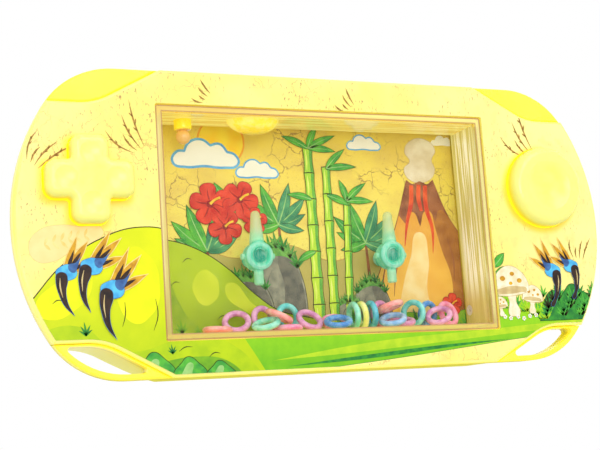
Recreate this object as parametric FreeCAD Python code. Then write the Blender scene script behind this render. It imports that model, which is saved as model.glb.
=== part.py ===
import FreeCAD, Part
import math
import os

# A handheld water ring game, standing on its long lower edge.
# X runs to the player's right, Y from the front face to the back, Z up.
# The origin is under the middle of the case, on the surface that it stands on.
# Lengths are millimetres. A depth is counted from the front plane of the case,
# and a height from the middle line of the case.

V = FreeCAD.Vector
BACKWARD = V(0, 1, 0)
UPWARD = V(0, 0, 1)
SIDES = {"left": -1, "right": 1}

# Case
body_width = 165.0
body_height = 76.5
body_depth = 24.0
end_radius = 54.0
corner_radius = 21.0
case_wall = 2.0
face_thickness = 2.0
parting_depth = 4.5
face_round = 0.9
back_round = 7.5
end_lean_share = 0.38
waist_from_end = 52.5
groove_width = 0.8
groove_depth = 0.4
lip_thickness = 0.9
lip_height = 1.2
lip_fit = 0.12

# Bites out of the front cover at the four corners
bite_drop = 9.1
bite_reach = 20.5
bite_angle = 28.5
bite_bend = 16.0
pad_step = 1.0
pad_fit = 0.15
pad_round = 0.6
lug_depth = 6.0
slot_rim = 0.7
slot_bar = 1.4
slot_round = 0.8

# Window and tank
window_from_end = 35.5
window_from_edge = 8.7
window_round = 0.6
tank_fit = 0.25
tank_sink = 0.6
tank_wall = 1.5
flange_reach = 1.0
flange_thickness = 1.4
card_thickness = 0.4
card_margin = 1.0
cradle_wall = 1.6
cradle_inset = 2.0

# Filler neck and plug
plug_from_tank_end = 9.7
plug_depth = 9.1
plug_radius = 2.3
plug_fit = 0.05
plug_head_radius = 3.9
plug_head_thickness = 1.0
plug_head_fit = 0.1
plug_tip_radius = 1.9
plug_foot_round = 0.7
plug_tip_drop = 5.9
plug_tip_neck = 1.7
plug_hole_play = 0.5
nail_notch_width = 3.0
nail_notch_depth = 0.6
neck_wall = 1.0
neck_gap = 0.05

# Pegs
peg_across_share = 0.4107
peg_level_share = -0.273
peg_depth = 7.6
hub_radius = 3.7
hub_front = 5.2
hub_length = 4.6
hub_edge = 0.7
hub_dish_radius = 2.3
hub_dish_depth = 0.9
hub_stem_radius = 2.0
stalk_rise = 12.0
stalk_foot_radius = 2.3
stalk_tip_radius = 1.25
stub_drop = 7.4
stub_radius = 1.25
stub_chamfer = 0.3
ear_reach = 0.8
ear_radius = 0.8
peg_pin_radius = 1.45
peg_pin_length = 1.0
peg_pin_fit = 0.05

# Press buttons
button_from_end = 18.0
button_below_bite = 19.6
button_proud = 4.4
button_travel = 3.0
button_fit = 0.3
keeper_reach = 1.3
keeper_thickness = 1.2
keeper_gap = 0.1
pusher_radius = 3.4
pusher_end = 4.7
cross_span = 21.5
cross_arm = 9.2
cross_corner = 2.6
cross_crease = 0.8
cross_edge = 1.8
cross_dish_radius = 2.7
cross_dish_depth = 0.55
cross_dish_from_end = 4.7
disc_diameter = 22.2
disc_edge = 2.2
disc_dish_radius = 6.9
disc_dish_depth = 1.3
disc_dish_edge = 1.0

# Pumps under the buttons
bellows_gap = 0.3
bellows_radius = 7.4
bellows_top_radius = 3.6
bellows_squashed = 2.5
bellows_skin = 0.9
bellows_hem = 0.9
cup_radius = 7.5
cup_length = 5.0
cup_wall = 1.2
spout_from_front = 1.8
spout_length = 4.0
spout_fit = 0.05
boss_radius = 5.5

# Feed tubes and jet nozzles
tube_radius = 1.8
tube_bore = 1.1
tube_bend = 6.0
tube_gap = 0.2
jet_above_floor = 4.8
jet_from_back = 1.8
jet_bore = 0.5
jet_radius = 1.45
jet_fit = 0.05
jet_flange_radius = 2.6
jet_flange_thickness = 0.8
jet_barb_length = 3.5

# Case screws
screw_from_end = 26.5
screw_from_top = 13.25
screw_above_jet = 6.2
strip_screw_from_edge = 5.35
screw_radius = 1.1
screw_head_radius = 2.2
screw_head_thickness = 1.6
screw_seat_depth = 17.0
screw_length = 12.0
screw_fit = 0.05
screw_recess_width = 0.6
screw_recess_depth = 0.7
post_radius = 2.1
post_end = 9.0
post_blind = 0.6
pillar_radius = 3.2
pillar_bore = 1.35
counterbore_radius = 2.4

# Rings
ring_outer_share = 0.084
ring_tube_share = 0.21
ring_room_share = 2.3
ring_heap_share = 3.157
ring_play = 3.26
ring_rest = 0.2

# Each ring's resting place: its centre across, as a share of the tank's half width
# inside, and in depth, as a share of the heap's depth. Then its lean from lying flat
# and its turn about the upright line, in degrees, and how far the rings under it
# lift it off the floor, as a share of its outer radius.
ring_place_shares = [
    (-0.693, 0.429, 3, 78, 0.01),
    (-0.551, 0.703, 51, -20, 0.02),
    (-0.376, 0.815, 78, 18, 0),
    (-0.325, 0.369, 26, 75, 0.49),
    (-0.411, 0.335, 24, -44, 0.01),
    (-0.226, 0.815, 88, 14, 0.08),
    (-0.275, 0.362, 0, 16, 0),
    (-0.112, 0.6, 48, 11, 0),
    (0.057, 0.691, 32, -13, 0),
    (0.034, 0.324, 25, -18, 0.01),
    (0.177, 0.651, 88, 87, 0),
    (0.225, 0.588, 86, 84, 0),
    (0.272, 0.499, 87, 87, 0),
    (0.375, 0.790, 90, 26, 0.1),
    (0.383, 0.375, 17, -131, 1.05),
    (0.576, 0.662, 90, -59, 0.04),
    (0.389, 0.331, 27, -35, 0),
    (0.475, 0.528, 17, -17, 0),
    (0.696, 0.806, 98, 21, 0),
    (0.708, 0.381, 43, -39, 0),
    (0.829, 0.744, 73, 21, 0),
]

# Values that follow from the ones above
total_depth = body_depth + button_proud
front_y = button_proud - total_depth / 2
half_width = body_width / 2
half_height = body_height / 2
overrun = case_wall
beyond = body_width
hair = groove_depth / 100
inner_back = body_depth - case_wall
window_half_width = half_width - window_from_end
window_half_height = half_height - window_from_edge
tank_half_width = window_half_width - tank_fit
tank_half_height = window_half_height - tank_fit
room_half_width = tank_half_width - tank_wall
ring_outer = ring_outer_share * room_half_width
ring_tube = ring_tube_share * ring_outer
tank_room = ring_room_share * ring_outer + ring_play
room_front = tank_sink + tank_wall
room_back = room_front + tank_room
plate_back = room_back + tank_wall
card_back = plate_back + card_thickness
floor_level = tank_wall - tank_half_height
waist = half_width - waist_from_end
plug_across = plug_from_tank_end - tank_half_width
plug_tip_level = tank_half_height - plug_tip_drop
peg_across = peg_across_share * tank_half_width
peg_level = peg_level_share * tank_half_height
jet_level = floor_level + jet_above_floor
jet_depth = room_back - jet_from_back
button_across = half_width - button_from_end
button_rise = half_height - bite_drop - button_below_bite
keeper_front = face_thickness + keeper_gap
bellows_height = button_travel + bellows_squashed
bellows_front = pusher_end + bellows_gap
cup_front = bellows_front + bellows_height
cup_back = cup_front + cup_length
spout_depth = cup_front + spout_from_front
screw_across = half_width - screw_from_end
screw_top_level = half_height - screw_from_top
screw_low_level = jet_level + screw_above_jet
strip_screw_level = half_height - strip_screw_from_edge


def at(across, depth, height):
    """A point in the row frame, from a place across, a depth and a height."""
    return V(across, front_y + depth, half_height + height)


def block(across, depth, height):
    """A box between two places in each direction."""
    size = [side[1] - side[0] for side in (across, depth, height)]
    return Part.makeBox(*size, at(across[0], depth[0], height[0]))


def drum(radius, across, height, start, end):
    """A round bar along the depth."""
    return Part.makeCylinder(radius, end - start, at(across, start, height), BACKWARD)


def slab(edges, start, end):
    """A closed outline, drawn on the front plane, made solid between two depths."""
    face = Part.Face(Part.Wire(edges))
    face.translate(BACKWARD * start)
    return face.extrude(BACKWARD * (end - start))


def polygon(points):
    """The straight edges round a list of points."""
    return [Part.makeLine(a, b) for a, b in zip(points, points[1:] + points[:1])]


def turned(profile, across, height):
    """A lathe profile of (radius, depth) points turned about a line along the depth."""
    points = [at(across + radius, depth, height) for radius, depth in profile]
    face = Part.Face(Part.Wire(polygon(points)))
    return face.revolve(at(across, 0, height), BACKWARD, 360)


def edges_at_depth(shape, depth):
    """The edges of a shape that lie in one plane across the depth."""
    level = front_y + depth
    found = []
    for edge in shape.Edges:
        box = edge.BoundBox
        if abs(box.YMin - level) < hair and abs(box.YMax - level) < hair:
            found.append(edge)
    return found


def outline_points(inset):
    """Centres and tangent points of the case outline, brought in all round by inset."""
    end_r = end_radius - inset
    corner_r = corner_radius - inset
    end_x = half_width - end_radius
    corner_z = half_height - corner_radius
    reach = end_radius - corner_radius
    corner_x = end_x + math.sqrt(reach**2 - corner_z**2)
    slant = math.atan2(corner_z, corner_x - end_x)
    middle = (slant + math.pi / 2) / 2
    join = (end_x + end_r * math.cos(slant), end_r * math.sin(slant))
    bulge = (corner_x + corner_r * math.cos(middle), corner_z + corner_r * math.sin(middle))
    return (corner_x, half_height - inset), bulge, join, (half_width - inset, 0)


def end_edges(inset, side):
    """The curved end of the outline, from its top tangent point to its bottom one."""
    top, bulge, join, tip = outline_points(inset)
    start, above, meet, out = [at(side * x, 0, z) for x, z in (top, bulge, join, tip)]
    finish, below, part = [at(side * x, 0, -z) for x, z in (top, bulge, join)]
    arcs = [(start, above, meet), (meet, out, part), (part, below, finish)]
    return [Part.Arc(*points).toShape() for points in arcs], start, finish


def outline_slab(inset, start, end):
    """The case outline made solid, straight back from start to end."""
    right, right_top, right_foot = end_edges(inset, 1)
    left, left_top, left_foot = end_edges(inset, -1)
    top = Part.makeLine(left_top, right_top)
    foot = Part.makeLine(left_foot, right_foot)
    return slab(Part.__sortEdges__(right + left + [top, foot]), start, end)


def leaning_end(inset, side, start, end):
    """One end of the rear housing, whose walls lean in towards the back."""
    arcs, top, foot = end_edges(inset, side)
    inner_x = side * waist
    inner_top = at(inner_x, 0, half_height - inset)
    inner_foot = at(inner_x, 0, inset - half_height)
    straight = [(inner_top, top), (foot, inner_foot), (inner_foot, inner_top)]
    lines = [Part.makeLine(a, b) for a, b in straight]
    face = Part.Face(Part.Wire(Part.__sortEdges__(arcs + lines)))
    face.translate(BACKWARD * start)
    length = end - start
    return face.extrude(V(-side * end_lean_share * length, length, 0))


def housing(inset, end):
    """The form of the rear housing: leaning ends on a straight middle, rounded behind."""
    span = waist + case_wall / 2
    height = half_height - inset
    middle = block((-span, span), (parting_depth, end), (-height, height))
    ends = [leaning_end(inset, side, parting_depth, end) for side in SIDES.values()]
    form = middle.fuse(ends).removeSplitter()
    return form.makeFillet(back_round - inset, edges_at_depth(form, end))


def bite(side, rise, grow, start, end):
    """The corner that the front cover leaves free, as a solid between two depths.

    side and rise say which corner it is. grow moves its inner edge into the case."""
    angle = math.radians(bite_angle)
    level = half_height - bite_drop
    bend_x = half_width - bite_reach + bite_bend * math.tan(angle / 2)
    bend_z = level + bite_bend
    radius = bite_bend + grow
    far = beyond

    def spot(x, z):
        return at(side * x, 0, rise * z)

    def round_the_bend(turn):
        return spot(bend_x - radius * math.sin(turn), bend_z - radius * math.cos(turn))

    slant = (-math.cos(angle) * far, math.sin(angle) * far)
    leave = (bend_x - radius * math.sin(angle), bend_z - radius * math.cos(angle))
    inner = [spot(far, level - grow), round_the_bend(0)]
    outer = [round_the_bend(angle), spot(leave[0] + slant[0], leave[1] + slant[1]), spot(far, far)]
    bend = Part.Arc(inner[1], round_the_bend(angle / 2), outer[0]).toShape()
    lines = polygon(inner + outer)
    straight = [line for line in lines if not joins(line, inner[1], outer[0])]
    return slab(Part.__sortEdges__(straight + [bend]), start, end)


def joins(line, first, second):
    """Whether a straight edge runs between these two points."""
    ends = [vertex.Point for vertex in line.Vertexes]
    return all(min(end.distanceToPoint(point) for end in ends) < hair for point in (first, second))


def bites(grow, start, end, rises=(1, -1)):
    """The same bite at the corners named by rises, 1 for the top and -1 for the bottom."""
    return [bite(side, rise, grow, start, end) for side in SIDES.values() for rise in rises]


def strap_slot(side, start, end):
    """The curved slot of a strap loop, between the bite's rim and the bar outside."""
    room = bite(side, -1, -slot_rim, start, end)
    inside = outline_slab(slot_bar, start, end)
    slot = room.common(inside)
    upright = [edge for edge in slot.Edges if edge.BoundBox.YLength > (end - start) / 2]
    sharp = [edge for edge in upright if corner_is_sharp(slot, edge)]
    return slot.makeFillet(slot_round, sharp)


def corner_is_sharp(shape, edge):
    """Whether the two faces beside an edge along the depth meet at a real corner."""
    faces = [face for face in shape.Faces if any(e.isSame(edge) for e in face.Edges)]
    point = edge.Vertexes[0].Point
    normals = []
    for face in faces:
        u, v = face.Surface.parameter(point)
        normals.append(face.normalAt(u, v))
    return abs(normals[0].dot(normals[1])) < math.cos(math.radians(bite_angle / 2))


def parting_groove():
    """The fine groove that runs round the case where the two covers meet."""
    start = parting_depth - groove_width / 2
    end = parting_depth + groove_width / 2
    return outline_slab(-overrun, start, end).cut(outline_slab(groove_depth, start, end))


def screw_places():
    """Where the six case screws stand."""
    levels = (screw_top_level, screw_low_level)
    corners = [(side * screw_across, z) for side in SIDES.values() for z in levels]
    return corners + [(0, strip_screw_level), (0, -strip_screw_level)]


def window_block(margin, start, end):
    """The window's rectangle, brought in all round by margin, between two depths."""
    across = window_half_width - margin
    height = window_half_height - margin
    return block((-across, across), (start, end), (-height, height))


def cross(grow, start, end):
    """The plus-shaped plan of the direction pad, grown all round, between two depths."""
    reach = cross_span / 2 + grow
    arm = cross_arm / 2 + grow
    tall = block((-arm, arm), (start, end), (-reach, reach))
    wide = block((-reach, reach), (start, end), (-arm, arm))
    form = tall.fuse(wide).removeSplitter()
    form = form.makeFillet(cross_crease, upright_edges(form, 0, reach))
    form = form.makeFillet(cross_corner + grow, upright_edges(form, reach, beyond))
    form.translate(V(-button_across, 0, button_rise))
    return form


def upright_edges(shape, nearest, farthest):
    """The edges along the depth that stand this far from the middle of the case."""
    found = []
    for edge in shape.Edges:
        box = edge.BoundBox
        place = edge.Vertexes[0].Point
        reach = math.hypot(place.x, place.z - half_height)
        straight = math.hypot(box.XLength, box.ZLength) < hair
        if straight and box.YLength > hair and nearest <= reach < farthest:
            found.append(edge)
    return found


def front_cover():
    """The printed face: a shallow tray with bitten corners, a window and two button holes."""
    form = outline_slab(0, 0, parting_depth).cut(bites(0, -overrun, parting_depth + overrun))
    form = form.makeFillet(face_round, edges_at_depth(form, 0))
    hollow = outline_slab(case_wall, face_thickness, parting_depth + overrun)
    hollow = hollow.cut(bites(case_wall, 0, parting_depth + 2 * overrun))
    form = form.cut(hollow).cut(parting_groove())
    window = window_block(0, -overrun, parting_depth)
    window = window.makeFillet(window_round, upright_edges(window, 0, beyond))
    disc_hole = drum(disc_diameter / 2 + button_fit, button_across, button_rise,
                     -overrun, parting_depth)
    form = form.cut([window, disc_hole, cross(button_fit, -overrun, parting_depth)])
    places = screw_places()
    posts = [drum(post_radius, x, z, face_thickness, post_end) for x, z in places]
    bottom = screw_seat_depth - screw_length - post_blind
    pilots = [drum(screw_radius + screw_fit, x, z, bottom, post_end) for x, z in places]
    return form.fuse(posts).cut(pilots).removeSplitter()


def case_form():
    """The whole outer form of the case, straight to the parting line and leaning behind it."""
    return outline_slab(0, 0, parting_depth).fuse(housing(0, body_depth))


def shoulder_pad(whole, side):
    """The plain pad that fills a top corner's bite, a step below the front face."""
    pad = whole.common(bite(side, 1, -pad_fit, pad_step, parting_depth))
    return pad.makeFillet(pad_round, edges_at_depth(pad, pad_step))


def strap_lug(whole, side):
    """The web that closes a bottom corner's bite, with its slot for a strap."""
    web = whole.common(bite(side, -1, -pad_fit, pad_step, parting_depth))
    web = web.makeFillet(pad_round, edges_at_depth(web, pad_step))
    root = whole.common(bite(side, -1, case_wall / 2, parting_depth, lug_depth))
    return web.fuse(root).cut(strap_slot(side, -overrun, body_depth))


def lip():
    """The low tongue inside the parting line that lines the two covers up."""
    outer = case_wall + lip_fit
    inner = outer + lip_thickness
    start = parting_depth - lip_height
    tongue = outline_slab(outer, start, parting_depth)
    tongue = tongue.cut(outline_slab(inner, start, parting_depth))
    foot = outline_slab(case_wall / 2, parting_depth, parting_depth + lip_height)
    foot = foot.cut(outline_slab(inner, parting_depth, parting_depth + lip_height))
    clear = bites(inner + lip_fit, 0, body_depth)
    return tongue.fuse(foot).common(case_form()).cut(clear)


def rear_cover():
    """The deep rear housing with its pads, strap loops, pillars and tank cradle."""
    whole = case_form()
    notches = bites(0, lug_depth, body_depth + overrun, rises=(-1,))
    keep = bites(case_wall, 0, body_depth + overrun, rises=(-1,))
    cavity = housing(case_wall, inner_back).cut(keep)
    corners = bites(0, parting_depth, body_depth + overrun, rises=(-1,))
    shell = housing(0, body_depth).cut(corners).cut(cavity)
    parts = [shoulder_pad(whole, side) for side in SIDES.values()]
    parts += [strap_lug(whole, side) for side in SIDES.values()]
    places = screw_places()
    inner = housing(0, body_depth)
    supports = [drum(pillar_radius, x, z, post_end, body_depth) for x, z in places]
    for side in SIDES.values():
        across = side * button_across
        supports.append(drum(boss_radius, across, button_rise, cup_back, body_depth))
    supports.append(cradle())
    parts += [support.common(inner) for support in supports]
    parts.append(lip())
    form = shell.fuse(parts).cut(parting_groove())
    outside = body_depth + overrun
    bores = [drum(pillar_bore, x, z, post_end - overrun, body_depth) for x, z in places]
    bores += [drum(counterbore_radius, x, z, screw_seat_depth, outside) for x, z in places]
    return form.cut(notches).cut(bores).cut(plug_hole())


def cradle():
    """The frame of ribs on the back wall that holds the tank against the front cover."""
    across = tank_half_width - cradle_inset
    height = tank_half_height - cradle_inset
    outside = block((-across, across), (card_back, body_depth), (-height, height))
    across = across - cradle_wall
    height = height - cradle_wall
    inside = block((-across, across), (card_back, body_depth), (-height, height))
    return outside.cut(inside)


def plug_hole():
    """The filler hole through the top wall, with a seat for the plug's head and a nail notch."""
    seat = half_height - plug_head_thickness
    across = plug_across
    inside = half_height - case_wall - overrun
    hole = Part.makeCylinder(plug_radius + plug_hole_play, case_wall + overrun,
                             at(across, plug_depth, inside), UPWARD)
    recess = Part.makeCylinder(plug_head_radius + plug_head_fit, case_wall,
                               at(across, plug_depth, seat), UPWARD)
    half_notch = nail_notch_width / 2
    notch = block((across, across + plug_head_radius + half_notch),
                  (plug_depth - half_notch, plug_depth + half_notch),
                  (half_height - nail_notch_depth, half_height + overrun))
    return hole.fuse([recess, notch])


def tank_shell():
    """The clear front pane and four walls, with a keeper flange and the filler neck."""
    wide, tall = tank_half_width, tank_half_height
    form = block((-wide, wide), (tank_sink, room_back), (-tall, tall))
    form = form.makeFillet(window_round, upright_edges(form, 0, beyond))
    outer_w, outer_t = wide + flange_reach + tank_fit, tall + flange_reach + tank_fit
    flange_end = face_thickness + flange_thickness
    flange = block((-outer_w, outer_w), (face_thickness, flange_end), (-outer_t, outer_t))
    neck_radius = plug_radius + plug_fit + neck_wall
    neck_top = half_height - case_wall - neck_gap
    neck = Part.makeCylinder(neck_radius, neck_top - tall, at(plug_across, plug_depth, tall), UPWARD)
    form = form.fuse([flange, neck]).removeSplitter()
    wide, tall = wide - tank_wall, tall - tank_wall
    room = block((-wide, wide), (room_front, room_back + overrun), (-tall, tall))
    bore = Part.makeCylinder(plug_radius + plug_fit, half_height,
                             at(plug_across, plug_depth, tall - overrun), UPWARD)
    cuts = [room, bore]
    for side in SIDES.values():
        start = at(side * (wide - tank_wall / 2), jet_depth, jet_level)
        cuts.append(Part.makeCylinder(jet_radius + jet_fit, 2 * tank_wall, start, V(side, 0, 0)))
    return form.cut(cuts)


def tank_back_plate():
    """The clear plate bonded to the back of the walls, with two sockets for the pegs."""
    wide, tall = tank_half_width, tank_half_height
    form = block((-wide, wide), (room_back, plate_back), (-tall, tall))
    sockets = [drum(peg_pin_radius + peg_pin_fit, side * peg_across, peg_level,
                    room_back - overrun, room_back + peg_pin_length + peg_pin_fit)
               for side in SIDES.values()]
    return form.cut(sockets)


def backdrop_card():
    """The printed card behind the tank."""
    wide = tank_half_width - card_margin
    tall = tank_half_height - card_margin
    return block((-wide, wide), (plate_back, card_back), (-tall, tall))


def peg(side):
    """A target peg: a tapered stalk on a dished hub, with a stub below and two ears."""
    x = side * peg_across
    hub_back = hub_front + hub_length
    hub = turned([
        (0, hub_front + hub_dish_depth),
        (hub_dish_radius - hub_edge, hub_front + hub_dish_depth),
        (hub_dish_radius, hub_front),
        (hub_radius - hub_edge, hub_front),
        (hub_radius, hub_front + hub_edge),
        (hub_radius, hub_back - hub_edge),
        (hub_stem_radius, hub_back),
        (hub_stem_radius, room_back),
        (peg_pin_radius, room_back),
        (peg_pin_radius, room_back + peg_pin_length),
        (0, room_back + peg_pin_length),
    ], x, peg_level)
    base = at(x, peg_depth, peg_level)
    stalk = Part.makeCone(stalk_foot_radius, stalk_tip_radius, stalk_rise - stalk_tip_radius,
                          base, UPWARD)
    tip = Part.makeSphere(stalk_tip_radius, base + UPWARD * (stalk_rise - stalk_tip_radius))
    stub = Part.makeCylinder(stub_radius, stub_drop, base, -UPWARD)
    foot = [edge for edge in stub.Edges if edge.BoundBox.ZMax < base.z - stub_drop / 2]
    stub = stub.makeChamfer(stub_chamfer, foot)
    reach = hub_radius + ear_reach
    ears = Part.makeCylinder(ear_radius, 2 * reach, base - V(reach, 0, 0), V(1, 0, 0))
    floor = hub_front + hub_dish_depth
    well = drum(hub_dish_radius - hub_edge, x, peg_level, hub_front - overrun, floor)
    return hub.fuse([stalk, tip, stub, ears]).cut(well).removeSplitter()


def dpad_button():
    """The plus-shaped press button, domed at its edges and dished on each arm."""
    top = -button_proud
    form = cross(0, top, keeper_front)
    form = form.makeFillet(cross_edge, edges_at_depth(form, top))
    dish = (cross_dish_radius**2 + cross_dish_depth**2) / (2 * cross_dish_depth)
    arm = cross_span / 2 - cross_dish_from_end
    dishes = []
    for dx, dz in ((arm, 0), (-arm, 0), (0, arm), (0, -arm)):
        centre = at(dx - button_across, top + cross_dish_depth - dish, button_rise + dz)
        dishes.append(Part.makeSphere(dish, centre))
    keeper = cross(keeper_reach, keeper_front, keeper_front + keeper_thickness)
    pusher = drum(pusher_radius, -button_across, button_rise, keeper_front, pusher_end)
    return form.cut(dishes).fuse([keeper, pusher]).removeSplitter()


def round_button():
    """The round press button, with a broad rim about a shallow dish."""
    top = -button_proud
    radius = disc_diameter / 2
    keeper_back = keeper_front + keeper_thickness
    dish = (disc_dish_radius**2 + disc_dish_depth**2) / (2 * disc_dish_depth)
    form = drum(radius, button_across, button_rise, top, keeper_front)
    form = form.makeFillet(disc_edge, edges_at_depth(form, top))
    hollow = Part.makeSphere(dish, at(button_across, top + disc_dish_depth - dish, button_rise))
    form = form.cut(hollow)
    rim = [edge for edge in edges_at_depth(form, top)
           if abs(edge.BoundBox.XLength / 2 - disc_dish_radius) < disc_dish_edge / 2]
    form = form.makeFillet(disc_dish_edge, rim)
    keeper = drum(radius + keeper_reach, button_across, button_rise, keeper_front, keeper_back)
    pusher = drum(pusher_radius, button_across, button_rise, keeper_front, pusher_end)
    return form.fuse([keeper, pusher]).removeSplitter()


def pump_bellows(side):
    """The soft dome that a button squeezes. It springs the button back."""
    front, back = bellows_front, cup_front
    knee = front + bellows_height / 2
    hem = back - bellows_hem
    skin = bellows_skin
    mouth = bellows_radius - 2 * skin
    outer = [(0, front), (bellows_top_radius, front), (bellows_top_radius + skin, front + skin),
             (bellows_radius - skin, knee), (bellows_radius, hem), (bellows_radius, back)]
    inner = [(mouth, back), (mouth, hem), (mouth - skin / 2, knee + skin),
             (bellows_top_radius, front + 2 * skin), (0, front + 2 * skin)]
    return turned(outer + inner, side * button_across, button_rise)


def pump_cup(side):
    """The cup that the bellows closes, with a spout for its feed tube."""
    x = side * button_across
    inner = cup_radius - cup_wall
    cup = drum(cup_radius, x, button_rise, cup_front, cup_back)
    root = cup_wall / 2
    start = at(x, spout_depth, button_rise - cup_radius + root)
    spout = Part.makeCylinder(tube_bore - spout_fit, spout_length + root, start, -UPWARD)
    well = drum(inner, x, button_rise, cup_front - overrun, cup_back - cup_wall)
    centre = at(x, spout_depth, button_rise)
    bore = Part.makeCylinder(jet_bore, cup_radius + spout_length, centre, -UPWARD)
    return cup.fuse(spout).cut([well, bore])


def feed_tube(side):
    """The soft tube from a pump cup down to its jet nozzle, in one easy bend."""
    x = side * button_across
    top = button_rise - cup_radius - tube_gap
    start = at(x, spout_depth, top)
    inward = V(-side, 0, 0)
    below = start - UPWARD * spout_length
    turn = at(x, jet_depth, jet_level + tube_bend)
    leave = at(x - side * tube_bend, jet_depth, jet_level)
    end = at(side * (tank_half_width + jet_flange_thickness + tube_gap), jet_depth, jet_level)
    beside = end - inward * jet_barb_length
    bend = Part.BSplineCurve()
    bend.interpolate(Points=[below, turn, leave, beside], InitialTangent=-UPWARD,
                     FinalTangent=inward)
    path = Part.Wire([Part.makeLine(start, below), bend.toShape(), Part.makeLine(beside, end)])
    solids = []
    for radius in (tube_radius, tube_bore):
        ring = Part.Wire(Part.makeCircle(radius, start, UPWARD))
        solids.append(path.makePipeShell([ring], True, False))
    return solids[0].cut(solids[1])


def jet_nozzle(side):
    """The bush through the tank's side wall, with a barb for the feed tube."""
    wall = tank_half_width
    flange_end = wall + jet_flange_thickness
    barb_end = flange_end + jet_barb_length
    barb_radius = tube_bore - spout_fit
    profile = [(wall - tank_wall, jet_bore), (wall - tank_wall, jet_radius), (wall, jet_radius),
               (wall, jet_flange_radius), (flange_end, jet_flange_radius),
               (flange_end, barb_radius), (barb_end, barb_radius), (barb_end, jet_bore)]
    points = [at(side * along, jet_depth, jet_level + radius) for along, radius in profile]
    face = Part.Face(Part.Wire(polygon(points)))
    return face.revolve(at(0, jet_depth, jet_level), V(1, 0, 0), 360)


def filler_plug():
    """The push-in plug: a flush head, a stem down the neck and a round tip in the tank."""
    across = plug_across
    seat = half_height - plug_head_thickness
    foot = at(across, plug_depth, plug_tip_level + plug_tip_neck)
    head = Part.makeCylinder(plug_head_radius, plug_head_thickness,
                             at(across, plug_depth, seat), UPWARD)
    stem = Part.makeCylinder(plug_radius, seat - plug_tip_level - plug_tip_neck, foot, UPWARD)
    lower = [edge for edge in stem.Edges if edge.BoundBox.ZMax < foot.z + plug_tip_radius]
    stem = stem.makeFillet(plug_foot_round, lower)
    tip = Part.makeSphere(plug_tip_radius, foot - UPWARD * plug_tip_neck)
    return head.fuse([stem, tip]).removeSplitter()


def case_screws():
    """The six self-tapping screws that hold the covers together, driven from the back."""
    screws = []
    for x, z in screw_places():
        head_end = screw_seat_depth + screw_head_thickness
        shank = drum(screw_radius, x, z, screw_seat_depth - screw_length, screw_seat_depth)
        head = drum(screw_head_radius, x, z, screw_seat_depth, head_end)
        arm = screw_head_radius / 2
        thin = screw_recess_width / 2
        recess = (head_end - screw_recess_depth, head_end)
        flat = block((x - arm, x + arm), recess, (z - thin, z + thin))
        upright = block((x - thin, x + thin), recess, (z - arm, z + arm))
        screws.append(shank.fuse(head).cut([flat, upright]))
    return Part.makeCompound(screws)


def ring(across_share, depth_share, lean, turn, lift_share):
    """A loose ring at its resting place in the tank."""
    middle = ring_outer - ring_tube
    form = Part.makeTorus(middle, ring_tube)
    form.rotate(V(0, 0, 0), V(1, 0, 0), lean)
    form.rotate(V(0, 0, 0), UPWARD, turn)
    lowest = ring_tube + middle * math.sin(math.radians(lean))
    height = floor_level + ring_rest + lowest + lift_share * ring_outer
    depth = room_front + tank_room / 2 + (depth_share - 1 / 2) * ring_heap_share * ring_outer
    form.translate(at(across_share * room_half_width, depth, height))
    return form


def build():
    """Every node of the game by name."""
    nodes = {
        "front_cover": front_cover(),
        "rear_cover": rear_cover(),
        "tank_shell": tank_shell(),
        "tank_back_plate": tank_back_plate(),
        "backdrop_card": backdrop_card(),
        "dpad_button": dpad_button(),
        "round_button": round_button(),
        "filler_plug": filler_plug(),
        "case_screws": case_screws(),
    }
    for name, side in SIDES.items():
        nodes["peg_" + name] = peg(side)
        nodes["pump_bellows_" + name] = pump_bellows(side)
        nodes["pump_cup_" + name] = pump_cup(side)
        nodes["feed_tube_" + name] = feed_tube(side)
        nodes["jet_nozzle_" + name] = jet_nozzle(side)
    for count, place in enumerate(ring_place_shares, start=1):
        nodes["ring_%02d" % count] = ring(*place)
    return nodes


os.makedirs("parts", exist_ok=True)
for node, shape in build().items():
    shape.exportStep(os.path.join("parts", node + ".step"))
    print(node, len(shape.Solids), "solid", round(shape.Volume, 1), "mm3", "valid", shape.isValid())
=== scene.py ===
import contextlib
import math

import bpy
from mathutils import Matrix, Vector


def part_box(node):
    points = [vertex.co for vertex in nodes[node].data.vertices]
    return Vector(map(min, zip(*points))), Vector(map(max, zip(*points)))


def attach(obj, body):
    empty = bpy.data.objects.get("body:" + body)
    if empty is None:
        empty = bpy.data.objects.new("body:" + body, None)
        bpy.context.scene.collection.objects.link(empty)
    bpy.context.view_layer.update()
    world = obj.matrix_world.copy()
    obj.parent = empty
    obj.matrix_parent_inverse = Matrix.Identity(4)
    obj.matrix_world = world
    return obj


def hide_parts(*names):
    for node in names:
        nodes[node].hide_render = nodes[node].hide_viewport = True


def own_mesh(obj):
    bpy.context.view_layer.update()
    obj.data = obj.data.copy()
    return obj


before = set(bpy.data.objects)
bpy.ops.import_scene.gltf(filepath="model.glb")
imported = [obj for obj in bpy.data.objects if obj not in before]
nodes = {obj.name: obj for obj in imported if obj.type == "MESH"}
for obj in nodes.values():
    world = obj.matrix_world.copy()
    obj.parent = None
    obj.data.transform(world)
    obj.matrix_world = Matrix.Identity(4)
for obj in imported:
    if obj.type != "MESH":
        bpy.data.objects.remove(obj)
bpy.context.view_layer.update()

# The looks of the handheld water ring game. Outlines are drawn in millimetres,
# across and up the face, and everything that is built is in metres.

MM = 0.001

case_low, case_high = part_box("front_cover")
card_low, card_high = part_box("backdrop_card")
face_plane = case_low.y / MM
card_plane = card_low.y / MM
middle_height = (case_high.z + case_low.z) / 2 / MM

# The tank's clear pane, from its middle to its right and top edges
pane_right = 45.25
pane_top = 27.8

# Prints: how far each layer and each sheet lies in front of what carries it, and how thick
# a shape is while it is cut
layer_step = 0.028
face_print_lift = 0.01
card_print_lift = 0.012
cut_depth = 0.15

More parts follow.
